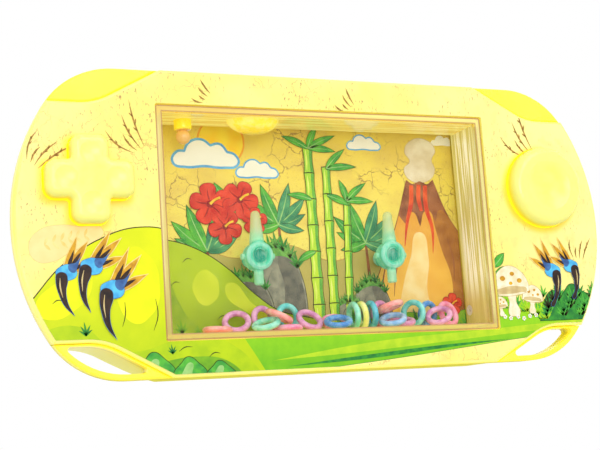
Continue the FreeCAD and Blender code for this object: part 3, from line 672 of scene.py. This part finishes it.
def face_picture():
    """The print on the front cover: a green hill, crane flowers, mushrooms and grass."""
    art = Picture("face_picture", face_plane)
    hill = [(-90, -6), (-86, 10), (-78, 20), (-71.5, 27.2), (-62, 33.6), (-52, 36.4), (-44, 35), (-36, 28),
            (-29.4, 13), (-23.6, 3.4), (-18, -6)]
    art.lay(hill, "hill", 1, (0, 10), 0.26)
    art.cut([(-88, -6), (-83, 6), (-75, 12.4), (-67, 12.6), (-60, 7.4), (-54, 6.6), (-44, 9.2), (-36, 10),
            (-30, 7.2), (-24.4, 2.0), (-20, -6)], "hill_shade", 1.5, (0, 10))
    art.cut([(-78, 16.8), (-72, 24), (-66, 27.4), (-64.6, 22), (-69, 16.6), (-74.6, 14.6)], "hill_glow",
            1.7)
    art.cut(round_shape(-53.6, 22.4, 5.6, 9.2, 12, 0.03), "hill_glow", 1.7)
    art.cut([(-86, -6), (-78, 3), (-70, 5.6), (-60, 2.6), (-50, 3.6), (-40, 4.8), (-32, 3.6), (-27, -1),
            (-25, -6)], "hill_dark", 2.0, (0, 8))
    for run in ([(-72.6, 22.4), (-71.6, 23.4), (-70.4, 23.6)], [(-74, 18.4), (-72.8, 19.2), (-71.6, 19.0)],
            [(-57.6, 12.6), (-56.8, 15.4), (-56.8, 18.4)], [(-50, 11.4), (-48.8, 15), (-49.2, 19)],
            [(-44, 6.2), (-42.4, 7.2), (-40.6, 7.2)], [(-36.4, 4.6), (-35, 5.6), (-33.6, 5.4)]):
        art.stroke(run, (0.08, 0.24, 0.08), "outline", 2.4)
    for x, z, size in ((-66.4, 10.6, 3.0), (-56.4, 4.4, 2.2), (-45.6, 5.6, 2.2)):
        tuft(art, x, z, size, "grass_dark", 2.6)
    crested_flower(art, -70.4, 25.6, -8, 1.0, 3)
    crested_flower(art, -64.4, 27.0, -20, 1.06, 7)
    crested_flower(art, -59.6, 21.4, -14, 1.16, 11)

    stone = [(-79.0, 32.4), (-77.6, 28.6), (-73.4, 28.4), (-69.0, 30.8), (-64.6, 32.4), (-61.4, 35.0),
            (-62.4, 36.8), (-66.6, 36.6), (-71.2, 37.0), (-76.4, 35.8)]
    art.lay(stone, "fossil", 0.5, (), 0.1, "sprig_pale")
    for side in (1, -1):
        for count in range(6):
            spot = (-75.4 + count * 1.9, 32.4 + count * 0.42)
            art.cut(turned(blade(2.5 - abs(count - 2) * 0.24, 0.7, 0.1), *spot, 8 + side * 56),
                    "pale_gold", 0.9, (4,), smooth=3)
    strip = [(-32, -1.6), (-8, 0.4), (16, 2.4), (36, 4.4), (56, 6.4), (70, 7.4), (90, 8.6), (90, 18),
            (78, 17.2), (73, 17.4), (69, 16.6), (64, 16.8), (59, 15.0), (54, 14.6), (49, 14.2), (30, 13),
            (-32, 12)]
    art.lay(strip, "grass", 0.9, (0, 6, 7, 15, 16), 0.12, "grass_dark")
    art.cut([(-20, 3.0), (4, 4.2), (30, 6.0), (52, 7.6), (66, 8.4), (90, 9.0), (90, 10.6), (74, 10.6),
            (62, 10.0), (40, 8.6), (10, 6.8)], "grass_light", 1.3, (0, 5, 6))
    art.cut([(-16, 1.4), (6, 2.4), (30, 4.4), (50, 6.0), (30, 5.2), (6, 3.4)], "grass_dark", 1.3, (0, 3))
    for x, z, wide, tall, layer in ((-50.0, 0.0, 5.0, 6.2, 3), (-41.4, -0.6, 4.4, 5.4, 4),
            (-33.6, -1.0, 4.0, 4.6, 5)):
        bush = [(x - wide, z - 3), (x - wide * 0.96, z + tall * 0.3), (x - wide * 0.5, z + tall * 0.72),
                (x - wide * 0.1, z + tall), (x + wide * 0.5, z + tall * 0.7), (x + wide, z + tall * 0.24),
                (x + wide, z - 3)]
        art.lay(bush, "leaf", layer, (0, 6), 0.16)
        art.cut([(x - wide * 0.5, z - 1), (x - wide * 0.4, z + tall * 0.4),
                (x + wide * 0.1, z + tall * 0.74), (x + wide * 0.1, z + tall * 0.3),
                (x - wide * 0.1, z - 1)], "leaf_pale", layer + 0.4)
    mound = [(60, 10.6), (61.4, 15), (64.6, 18.8), (67.6, 18.0), (71.4, 20.6), (75, 18.4), (80, 16.4),
            (84, 10.8)]
    art.lay(mound, "grass_dark", 2, (0, 7), 0.14, "outline")
    for count in range(34):
        x = 46.4 + (count * 7 % 34) * 0.48
        tone = ("grass", "leaf", "grass_light")[count % 3]
        tuft(art, x, 15.4 - (count % 5) * 1.1, 3.4 + 0.8 * math.sin(count * 1.9),
                tone, 2.0 + count * 0.03, 9 * math.sin(count * 1.3))
    for count in range(40):
        x = 61.6 + (count * 11 % 40) * 0.46
        tone = ("leaf", "outline", "grass_dark", "leaf")[count % 4]
        tuft(art, x, 17.0 - (count % 6) * 1.05, 3.2 + 0.7 * math.sin(count * 2.3),
                tone, 3.1 + count * 0.02, 9 * math.sin(count * 1.7))
    for angle, z, length in ((18, 23.4, 5.6), (-24, 21.6, 5.0), (40, 25.8, 5.0)):
        leaf(art, 46.6, z, angle, length, 2.4, 0.5, "leaf", 3.6)
    mushroom(art, 57.6, 13.0, 0.95, 4, -6)
    mushroom(art, 51.8, 12.6, 1.7, 5, 4)
    mushroom(art, 47.8, 12.4, 0.65, 7.2, 8)
    for x, z in ((48.6, 12.0), (50.4, 11.6), (52.8, 11.9), (54.6, 11.4), (56.6, 12.0), (58.6, 12.2)):
        for turn in range(5):
            angle = math.radians(turn * 72 + x * 9)
            art.cut(round_shape(x + 0.36 * math.cos(angle), z + 0.36 * math.sin(angle), 0.26, 0.26, 6),
                    "white", 7.4)
        art.cut(round_shape(x, z, 0.18, 0.18, 6), "pollen", 7.8)
    crested_flower(art, 65.4, 24.4, 8, 1.0, 4, -1)
    crested_flower(art, 71.6, 25.6, 14, 0.92, 8, -1)

    for place in ((-77.6, 51.6, 50, 10.5), (-51.6, 55.8, 122, 12.0), (61.6, 57.6, 124, 13.0),
            (74.6, 27.8, 78, 7.0), (6.6, 68.6, 130, 5.0), (-33.4, 69.6, 140, 4.4)):
        dry_grass(art, *place, 1)
    return art


# The sheets that carry the prints

def face_sheet():
    """A thin sheet of print on the flat of the front cover."""
    sheet = copy_of("front_cover", "face_print")
    level = case_low.y + 0.02 * MM
    keep_faces(sheet, lambda face: face.normal.y < -0.99 and face.center.y < level)
    return sheet


def clip_block(sheet):
    """A closed block about a sheet, to cut a picture back with."""
    behind, deep = 0.2 * MM, 1.4 * MM
    block = linked(bpy.data.objects.new("clip_block", sheet.data.copy()))
    with editing(block):
        bpy.ops.transform.translate(value=(0, behind, 0))
        bpy.ops.mesh.extrude_region_move(TRANSFORM_OT_translate={"value": (0, -deep, 0)})
        bpy.ops.mesh.select_all(action="SELECT")
        bpy.ops.mesh.normals_make_consistent(inside=False)
    return block


def card_sheet():
    """The print's ground on the card."""
    bpy.ops.object.select_all(action="DESELECT")
    bpy.ops.mesh.primitive_plane_add(size=1, location=(0, 0, 0))
    sheet = bpy.context.view_layer.objects.active
    sheet.name = "card_print"
    sheet.rotation_euler = (math.pi / 2, 0, 0)
    sheet.scale = (card_high.x - card_low.x, card_high.z - card_low.z, 1)
    sheet.location = (0, card_low.y - card_print_lift * MM, (card_high.z + card_low.z) / 2)
    settle(sheet)
    with editing(sheet):
        bpy.ops.mesh.subdivide(number_cuts=7)
    return sheet


# Finishes of the game's pieces

def bar_distance(finish, dx, dz, wide, tall):
    """How far a point lies outside a rectangle about the middle."""
    over = finish.most(finish.less(dx, wide), 0.0)
    up = finish.most(finish.less(dz, tall), 0.0)
    return finish.reach(over, up)


def painted_shade_round_buttons(finish, spot):
    """How near a point of the face is to a button's edge, 1 at the edge: the mask of painted deeper-yellow
    shade round the buttons, set a little left and down so that it falls stronger below and to the left.
    """
    x, _, z = spot
    dx = finish.gap(x, cross_at.x - 0.35)
    dz = finish.gap(z, cross_at.z - 0.45)
    near = finish.sum("MINIMUM", bar_distance(finish, dx, dz, 3.4, 9.4),
                      bar_distance(finish, dx, dz, 9.4, 3.4))
    cross = finish.ease(near, 1.0, 3.1, 1.0, 0.0)
    dx = finish.less(x, disc_at.x - 0.3)
    dz = finish.less(z, disc_at.z - 0.5)
    reach = finish.reach(dx, dz)
    disc = finish.ease(reach, 11.0, 13.2, 1.0, 0.0)
    return finish.most(cross, disc)


def printed_face():
    """Cream ground with fine brown specks, a painted highlight that pales it towards the top right, and
    painted deeper-yellow shade round the buttons.
    """
    finish = Finish("printed_face", 0.3, Coat_Weight=0.25, Coat_Roughness=0.12)
    spot = finish.axes()
    ground = finish.clouds(0.06, 3.0, 0.35, 0.65, (250, 234, 112), (253, 240, 134))
    sweep = finish.sum("MULTIPLY_ADD", spot[2], 0.55, spot[0])
    # Painted highlight: the ground pales towards the top right.
    pale = finish.ease(sweep, 40, 118, 0.0, 0.75)
    ground = finish.blend(pale, ground, srgb(254, 248, 162))
    patch = finish.ease(finish.noise(0.32, 5.0, (1, 1, 0.8)), 0.5, 0.7, 0.0, 0.42)
    ground = finish.blend(patch, ground, srgb(240, 214, 120))
    specks = finish.noise(2.3, 2.0, (1, 1, 0.42), (7, 0, 3))
    where = finish.ease(finish.noise(0.11, 2.0, (1, 1, 1), (40, 0, 9)), 0.42, 0.62)
    dots = finish.times(finish.ease(specks, 0.6, 0.7), finish.times(where, 0.8))
    dots = finish.times(dots, finish.ease(sweep, 60, 120, 1.0, 0.25))
    ground = finish.blend(dots, ground, srgb(160, 112, 52))
    lines = finish.times(finish.cracks(0.24, 0.14, (3, 0, 50)), finish.ease(sweep, 10, 100, 0.5, 0.1))
    ground = finish.blend(lines, ground, srgb(196, 150, 70))
    # Painted shade: a deeper yellow round the buttons.
    finish.paint(finish.blend(finish.times(painted_shade_round_buttons(finish, spot), 0.85), ground, srgb(255, 226, 40)))
    finish.bumps(finish.noise(1.2, 2.0), 0.06)
    return finish.material


def printed_sky():
    """The card's sky: straw yellow with soft tan clouds of colour."""
    finish = Finish("printed_sky", 0.45)
    height = finish.axes()[2]
    ground = finish.blend(finish.ease(height, 24, 66), srgb(238, 224, 98), srgb(242, 214, 74))
    patch = finish.ease(finish.noise(0.14, 5.0, (0.7, 1, 1)), 0.42, 0.68, 0.0, 0.7)
    ground = finish.blend(patch, ground, srgb(224, 192, 78))
    specks = finish.ease(finish.noise(1.6, 3.0), 0.6, 0.72, 0.0, 0.5)
    ground = finish.blend(specks, ground, srgb(190, 140, 60))
    lines = finish.times(finish.cracks(0.2, 0.16, (31, 0, 12)), 0.75)
    finish.paint(finish.blend(lines, ground, srgb(140, 96, 44)))
    return finish.material


def lemon_plastic(name, pale, deep):
    """The case's own plastic: gloss lemon, darker in the joint line, with painted shade in deeper yellow
    down the sides behind the face and a painted yellow glow on the walls just behind the face.
    """
    finish = Finish(name, 0.3, Coat_Weight=0.12, Coat_Roughness=0.1)
    finish.set(Specular_IOR_Level=0.3, Subsurface_Weight=0.4, Subsurface_Radius=case_glow_reach)
    y = finish.axes()[1]
    colour = finish.clouds(0.05, 2.0, 0.3, 0.7, pale, deep)
    # Painted shade: the sides behind the face are painted a deeper yellow.
    front = finish.ease(y, face_plane + 0.1, face_plane + 1.4, 0.0, 0.65)
    back = finish.ease(y, face_plane + 9.0, face_plane + 3.0, 0.0, 1.0)
    colour = finish.blend(finish.times(front, back), colour, srgb(255, 240, 66))
    line = finish.ease(finish.gap(y, face_plane + 4.5), 0.38, 0.46, 0.6, 0.0)
    colour = finish.blend(line, colour, srgb(206, 204, 60))
    finish.paint(colour)
    # Painted glow: the walls in the first few millimetres behind the face glow yellow.
    finish.set(Emission_Color=srgb(255, 226, 40))
    inside = finish.times(finish.ease(y, face_plane + 0.05, face_plane + 0.3),
                        finish.ease(y, face_plane + 3.2, face_plane + 2.2))
    finish.link(finish.times(inside, 0.22), "Emission Strength")
    finish.bumps(finish.noise(0.9, 3.0), 0.05)
    return finish.material


def button_plastic(name, at, reach):
    """Pale lemon on top, with painted shade in saturated yellow down the sides, deeper yellow in drifting
    patches in the dish, and a painted yellow glow on the sides near the face.
    """
    finish = Finish(name, 0.26, Coat_Weight=0.3, Coat_Roughness=0.1)
    finish.set(Subsurface_Weight=0.4, Subsurface_Radius=case_glow_reach)
    x, y, z = finish.axes()
    # Painted shade: the sides are painted a saturated yellow and the top pale.
    side = finish.ease(y, face_plane - 3.3, face_plane - 0.6)
    colour = finish.blend(side, srgb(254, 246, 132), srgb(255, 232, 48))
    dx = finish.less(x, at.x)
    dz = finish.less(z, at.z)
    away = finish.reach(dx, dz)
    # Deeper yellow in drifting patches in the middle of the dish.
    dish_patches = finish.times(finish.ease(away, reach * 0.55, reach, 1.0, 0.0),
                       finish.ease(finish.noise(0.16, 3.0), 0.35, 0.7, 0.15, 0.7))
    colour = finish.blend(dish_patches, colour, srgb(250, 232, 92))
    finish.paint(colour)
    # Painted glow: the sides near the face glow yellow.
    finish.set(Emission_Color=srgb(255, 226, 40))
    finish.link(finish.ease(y, face_plane - 1.4, face_plane, 0.0, 0.4), "Emission Strength")
    finish.bumps(finish.noise(0.7, 2.0), 0.05)
    return finish.material


def clear_walls():
    """The tank's moulding: clear panes, and walls painted with reflections in tan streaks with upright
    painted glints, darker towards the bottom, and straw yellow above and below; the window's frame in
    painted shade with painted brown lines at the pane's edges; the whole with a painted glow.
    """
    finish = Finish("clear_walls", 0.1, IOR=1.49)
    x, y, z = finish.axes()
    across = finish.less(finish.sum("ABSOLUTE", x), pane_right)
    level = finish.less(finish.gap(z, middle_height), pane_top)
    side = finish.ease(across, -0.25, -0.05)
    shelf = finish.ease(level, -0.25, -0.05)
    # Painted reflections on the side walls: tan streaks, darker towards the bottom, with upright painted
    # glints in the middle of the walls' depth.
    streaks = finish.noise(1.0, 2.0, (0.05, 1, 0.035))
    painted_glints = finish.ease(streaks, 0.43, 0.54)
    middle = finish.times(finish.ease(y, face_plane + 2.2, face_plane + 4.0),
                        finish.ease(y, face_plane + 13.6, face_plane + 11.0))
    fade = finish.times(finish.ease(z, 16, 27), finish.ease(z, 68, 61))
    white = finish.times(finish.times(painted_glints, middle), fade)
    tan = finish.blend(finish.ease(streaks, 0.35, 0.7), srgb(206, 194, 112), srgb(238, 234, 152))
    tan = finish.blend(finish.ease(z, 30, 10, 0.0, 0.6), tan, srgb(186, 158, 84))
    wall = finish.blend(white, tan, srgb(255, 253, 232))
    # Painted reflection on the top and bottom walls: straw yellow with fine lines.
    lines = finish.ease(finish.noise(1.2, 3.0, (0.03, 1, 0.03), (5, 0, 5)), 0.44, 0.58)
    ledge = finish.blend(lines, srgb(240, 214, 104), srgb(255, 246, 150))
    colour = finish.blend(shelf, wall, ledge)
    # The window's frame: painted shade, darker at the left and at the bottom, with painted brown lines
    # along the pane's edges.
    out = finish.most(across, level)
    line = finish.most(finish.ease(out, 0.3, 0.12), finish.ease(out, 1.05, 1.25))
    painted_frame_shade_and_lines = finish.blend(finish.ease(x, -36, 30), srgb(226, 208, 132), srgb(250, 246, 170))
    painted_frame_shade_and_lines = finish.blend(finish.ease(z, 16, 9), painted_frame_shade_and_lines, srgb(206, 196, 116))
    painted_frame_shade_and_lines = finish.blend(line, painted_frame_shade_and_lines, srgb(172, 134, 88))
    front = finish.ease(y, face_plane + 1.9, face_plane + 0.9)
    colour = finish.blend(front, colour, painted_frame_shade_and_lines)
    # A painted glow over the whole moulding.
    finish.paint(colour, 0.22)
    edge = finish.most(side, shelf)
    see_through = finish.sum("MULTIPLY_ADD", line, 0.35, 0.45)
    solid = finish.times(edge, finish.most(see_through, finish.ease(front, 1.0, 0.0, 0.0, 0.94)))
    finish.link(finish.most(solid, 0.012), "Alpha")
    return finish.material


def clear_plate():
    """The tank's clear back plate, faintly cloudy."""
    finish = Finish("clear_plate", 0.1, IOR=1.49)
    cloudy = finish.ease(finish.noise(0.2, 2.0), 0.4, 0.8, 0.012, 0.03)
    finish.paint(finish.blend(cloudy, srgb(255, 252, 232), srgb(250, 244, 214)))
    finish.link(cloudy, "Alpha")
    return finish.material


def peg_plastic(name, node):
    """Translucent teal: deep in the hub's eye, milky on the rim and nearly clear on the stalk, with a faint
    painted glow.
    """
    finish = Finish(name, 0.2, IOR=1.45)
    hub = middle_of(node).x
    level = middle_height - 8
    x, y, z = finish.axes()
    dx = finish.less(x, hub)
    dz = finish.less(z, level)
    away = finish.reach(dx, dz)
    colour = finish.blend(finish.ease(away, 1.2, 2.4), srgb(8, 150, 124), srgb(74, 204, 160))
    edge = finish.times(finish.ease(away, 2.5, 3.1), finish.ease(away, 3.9, 3.3))
    colour = finish.blend(finish.times(edge, 0.5), colour, srgb(176, 242, 222))
    colour = finish.blend(finish.ease(away, 3.6, 4.6), colour, srgb(156, 232, 184))
    colour = finish.blend(finish.ease(z, level + 4.5, level + 9.0), colour, srgb(228, 244, 168))
    colour = finish.blend(finish.ease(z, level + 14.5, level + 16.0), colour, srgb(226, 196, 138))
    wisps = finish.ease(finish.noise(0.9, 2.0, (1, 1, 0.3)), 0.4, 0.7, 0.0, 0.3)
    colour = finish.blend(wisps, colour, srgb(226, 252, 226))
    # A faint painted glow.
    finish.paint(colour, 0.12)
    dense = finish.ease(away, 3.4, 5.2, 0.84, 0.55)
    finish.link(finish.times(dense, finish.ease(z, level + 4.5, level + 9.0, 1.0, 0.72)), "Alpha")
    return finish.material


def ring_plastic(name, colour, light):
    """Soft translucent plastic with milky clouds."""
    finish = Finish(name, 0.25, IOR=1.45, Coat_Weight=0.2)
    finish.set(Subsurface_Weight=0.5, Subsurface_Radius=ring_glow_reach)
    finish.paint(finish.clouds(0.5, 2.0, 0.32, 0.68, colour, light))
    finish.bumps(finish.noise(1.4, 2.0), 0.05)
    return finish.material


def plug_plastic():
    """Bright yellow, with a tan ball at the tip, and a painted glow."""
    finish = Finish("plug_plastic", 0.25, Coat_Weight=0.3)
    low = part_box("filler_plug")[0].z / MM
    z = finish.axes()[2]
    column = finish.clouds(0.8, 2.0, 0.3, 0.7, (255, 236, 40), (252, 226, 36))
    colour = finish.blend(finish.ease(z, low + 3.9, low + 3.5), column, srgb(226, 176, 92))
    # A painted glow.
    finish.paint(colour, 0.2)
    finish.bumps(finish.noise(1.5, 2.0), 0.05)
    return finish.material


def milky_plastic(name, pale, shade, roughness):
    """The soft white plastics of the pumps."""
    finish = Finish(name, roughness)
    finish.paint(finish.clouds(0.4, 3.0, 0.3, 0.7, shade, pale))
    finish.bumps(finish.noise(1.3, 3.0), 0.1)
    return finish.material


def plated_steel():
    """The screws' plating, a little worn."""
    finish = Finish("plated_steel", 0.3, Metallic=1.0)
    finish.paint(finish.clouds(1.2, 4.0, 0.35, 0.7, (168, 168, 172), (206, 206, 208)))
    finish.link(finish.ease(finish.noise(3.0, 3.0), 0.3, 0.7, 0.22, 0.42), "Roughness")
    return finish.material


def card_stock():
    """The card's plain sides, with their fibres."""
    finish = Finish("card_stock", 0.7)
    fibres = finish.ease(finish.noise(2.0, 4.0, (1, 1, 0.3)), 0.35, 0.65)
    finish.paint(finish.blend(fibres, srgb(236, 230, 214), srgb(250, 248, 240)))
    finish.bumps(finish.noise(3.0, 3.0), 0.1)
    return finish.material


def bubble_skin():
    """The skin of the air bubble, all painted light: clear yellow within, a pale painted reflection along
    its rim, a tan painted reflection at its right end, and a painted glow.
    """
    finish = Finish("bubble_skin", 0.08, IOR=1.33)
    facing = finish.add("LayerWeight", {"Blend": 0.3}).outputs["Facing"]
    x, _, z = finish.axes()
    # Painted reflection: a pale line along the rim, where the skin turns away.
    rim = finish.ease(facing, 0.62, 0.9)
    inner = finish.clouds(0.5, 2.0, 0.4, 0.6, (255, 236, 70), (255, 244, 130))
    # Painted reflection: tan at the right end.
    edge = finish.blend(finish.ease(x, -17.0, -12.5), srgb(255, 250, 226), srgb(214, 170, 96))
    colour = finish.blend(rim, inner, edge)
    # A painted glow.
    finish.paint(colour, 0.25)
    full = finish.ease(z, 62.6, 64.6, 0.2, 0.7)
    finish.link(finish.most(full, finish.times(rim, 0.85)), "Alpha")
    return finish.material


RING_COLOURS = {
    "salmon": ((250, 150, 148), (255, 190, 178)), "mauve": ((208, 132, 184), (236, 180, 214)),
    "pink": ((236, 130, 176), (252, 182, 208)), "mint": ((120, 222, 190), (176, 240, 216)),
    "aqua": ((96, 206, 202), (152, 230, 222)), "teal": ((46, 158, 188), (104, 200, 216)),
    "blue": ((66, 142, 214), (128, 186, 232)), "sky": ((132, 186, 232), (180, 216, 244)),
    "yellow": ((238, 234, 116), (250, 246, 170)),
}
RING_ORDER = ("salmon mauve mauve salmon mint aqua pink mauve pink blue mint yellow teal mauve salmon "
              "aqua sky mauve blue mauve pink").split()


def dress(node, material):
    """A CAD node gets its finish."""
    mesh = nodes[node].data
    mesh.materials.clear()
    mesh.materials.append(material)


def dress_the_parts():
    dress("front_cover", lemon_plastic("front_plastic", (254, 247, 150), (252, 244, 132)))
    dress("rear_cover", lemon_plastic("rear_plastic", (254, 244, 96), (252, 240, 78)))
    dress("dpad_button", button_plastic("dpad_plastic", cross_at, 5.5))
    dress("round_button", button_plastic("disc_plastic", disc_at, 8.0))
    dress("tank_shell", clear_walls())
    dress("tank_back_plate", clear_plate())
    dress("backdrop_card", card_stock())
    dress("filler_plug", plug_plastic())
    dress("case_screws", plated_steel())
    milky = milky_plastic("pump_plastic", (240, 240, 234), (224, 224, 216), 0.4)
    rubber = milky_plastic("bellows_rubber", (228, 226, 214), (208, 206, 194), 0.6)
    hose = milky_plastic("hose_rubber", (232, 236, 236), (212, 218, 220), 0.35)
    for side in ("left", "right"):
        dress("peg_" + side, peg_plastic("peg_plastic_" + side, "peg_" + side))
        dress("pump_cup_" + side, milky)
        dress("jet_nozzle_" + side, milky)
        dress("pump_bellows_" + side, rubber)
        dress("feed_tube_" + side, hose)
    made = {name: ring_plastic("ring_" + name, *tones) for name, tones in RING_COLOURS.items()}
    for count, name in enumerate(RING_ORDER, start=1):
        dress("ring_%02d" % count, made[name])


def soft_domes():
    """The soft bellows as smooth-shaded copies that ride on the case, in place of the CAD pieces."""
    for side, joint in (("left", "dpad_press"), ("right", "button_press")):
        node = "pump_bellows_" + side
        dome = copy_of(node, "soft_dome_" + side)
        keep_faces(dome, lambda face: True)
        pick(dome)
        bpy.ops.object.shade_smooth_by_angle(angle=math.radians(35))
        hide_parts(node)
        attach(dome, "case")
        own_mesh(dome)


def air_bubble():
    """The air left in the tank: a flat lens under the top wall."""
    bpy.ops.object.select_all(action="DESELECT")
    roof = middle_height + pane_top - 0.1
    bpy.ops.mesh.primitive_uv_sphere_add(segments=64, ring_count=32, radius=1 * MM)
    bubble = bpy.context.view_layer.objects.active
    bubble.name = "air_bubble"
    bubble.scale = (7.4, 4.6, 4.4)
    bubble.location = (-18.4 * MM, (face_plane + 7.2) * MM, (roof + 0.9) * MM)
    settle(bubble)
    with editing(bubble):
        bpy.ops.mesh.bisect(plane_co=(0, 0, roof * MM), plane_no=(0, 0, 1), use_fill=True, clear_outer=True)
    bpy.ops.object.shade_smooth_by_angle(angle=math.radians(40))
    bubble.data.materials.append(bubble_skin())
    return bubble


# Studio

def set_camera():
    """The photograph's angle: low, a little to the left, with the case tipped in the frame."""
    azimuth, elevation, roll = (math.radians(angle) for angle in camera_turns)
    back = Vector((math.sin(azimuth) * math.cos(elevation),
                   -math.cos(azimuth) * math.cos(elevation), math.sin(elevation)))
    level = Vector((0, 0, 1)).cross(back).normalized()
    upright = back.cross(level)
    right = math.cos(roll) * level + math.sin(roll) * upright
    top = -math.sin(roll) * level + math.cos(roll) * upright
    window_middle = Vector((0, face_plane, middle_height))
    place = (window_middle + back * camera_away - right * camera_right - top * camera_up) * MM
    data = bpy.data.cameras.new("camera")
    data.lens = camera_lens
    data.clip_start = 0.01
    data.clip_end = 20
    camera = linked(bpy.data.objects.new("camera", data))
    camera.matrix_world = Matrix.Translation(place) @ Matrix((right, top, back)).transposed().to_4x4()
    bpy.context.scene.camera = camera


def soft_lamp(name, place, size, power):
    """A square lamp that faces the game."""
    data = bpy.data.lights.new(name, "AREA")
    data.shape = "SQUARE"
    data.size = size
    data.energy = power
    lamp = linked(bpy.data.objects.new(name, data))
    lamp.location = place
    aim = Vector((0, 0, 0.035)) - Vector(place)
    lamp.rotation_euler = aim.to_track_quat("-Z", "Y").to_euler()


def studio():
    """White all round, four soft lamps, and a floor that is clear from below."""
    world = bpy.data.worlds.new("white_studio")
    bpy.context.scene.world = world
    world.use_nodes = True
    tree = world.node_tree
    tree.nodes.clear()
    seen = node_in(tree, "LightPath").outputs
    shown = node_in(tree, "Math", {0: seen["Is Camera Ray"],
                                   1: seen["Is Transmission Ray"]}, operation="MAXIMUM")
    both = node_in(tree, "Math", {0: shown.outputs[0], 1: seen["Is Glossy Ray"]}, operation="MAXIMUM")
    strength = node_in(tree, "MapRange", {"Value": both.outputs[0], "To Min": 0.8, "To Max": 1.0})
    light = node_in(tree, "Background", {"Color": (1, 1, 1, 1), "Strength": strength.outputs[0]})
    node_in(tree, "OutputWorld", {"Surface": light.outputs[0]})

    soft_lamp("key_lamp", (0.25, -0.7, 0.55), 0.5, 1.75)
    soft_lamp("fill_lamp", (-0.7, -0.5, 0.3), 0.6, 0.7)
    soft_lamp("front_lamp", (-0.15, -0.9, 0.12), 0.5, 2.55)
    soft_lamp("back_lamp", (0.2, 0.7, 0.6), 0.6, 1.2)

    bpy.ops.object.select_all(action="DESELECT")
    bpy.ops.mesh.primitive_plane_add(size=4, location=(0, 0, -0.00005))
    floor = bpy.context.view_layer.objects.active
    floor.name = "studio_floor"
    paper = Finish("floor_paper", 0.6)
    paper.set(Base_Color=srgb(252, 252, 250))
    under = paper.add("NewGeometry").outputs["Backfacing"]
    clear = paper.add("BsdfTransparent")
    mixed = paper.add("MixShader", {0: under, 1: paper.shader.outputs[0], 2: clear.outputs[0]})
    out = paper.tree.nodes["Material Output"]
    paper.tree.links.new(mixed.outputs[0], out.inputs["Surface"])
    floor.data.materials.append(paper.material)
    floor.visible_diffuse = False


# Making it

set_camera()
studio()
dress_the_parts()

face = face_sheet()
card = card_sheet()
face_clip = clip_block(face)
card_clip = clip_block(card)
face_art = face_picture().finished(face_clip)
card_art = valley_picture().finished(card_clip)
for helper in (face_clip, card_clip):
    bpy.data.objects.remove(helper)

with editing(face):
    bpy.ops.transform.translate(value=(0, -face_print_lift * MM, 0))
for sheet, finish in ((face, printed_face()), (card, printed_sky())):
    sheet.data.materials.clear()
    sheet.data.materials.append(finish)
bubble = air_bubble()
for piece, slot in ((face, "case_front"), (face_art, "case_front"), (card, "printed_card"),
                    (card_art, "printed_card"), (bubble, "clear_tank")):
    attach(piece, "case")
soft_domes()

bpy.context.scene.view_settings.view_transform = "Standard"
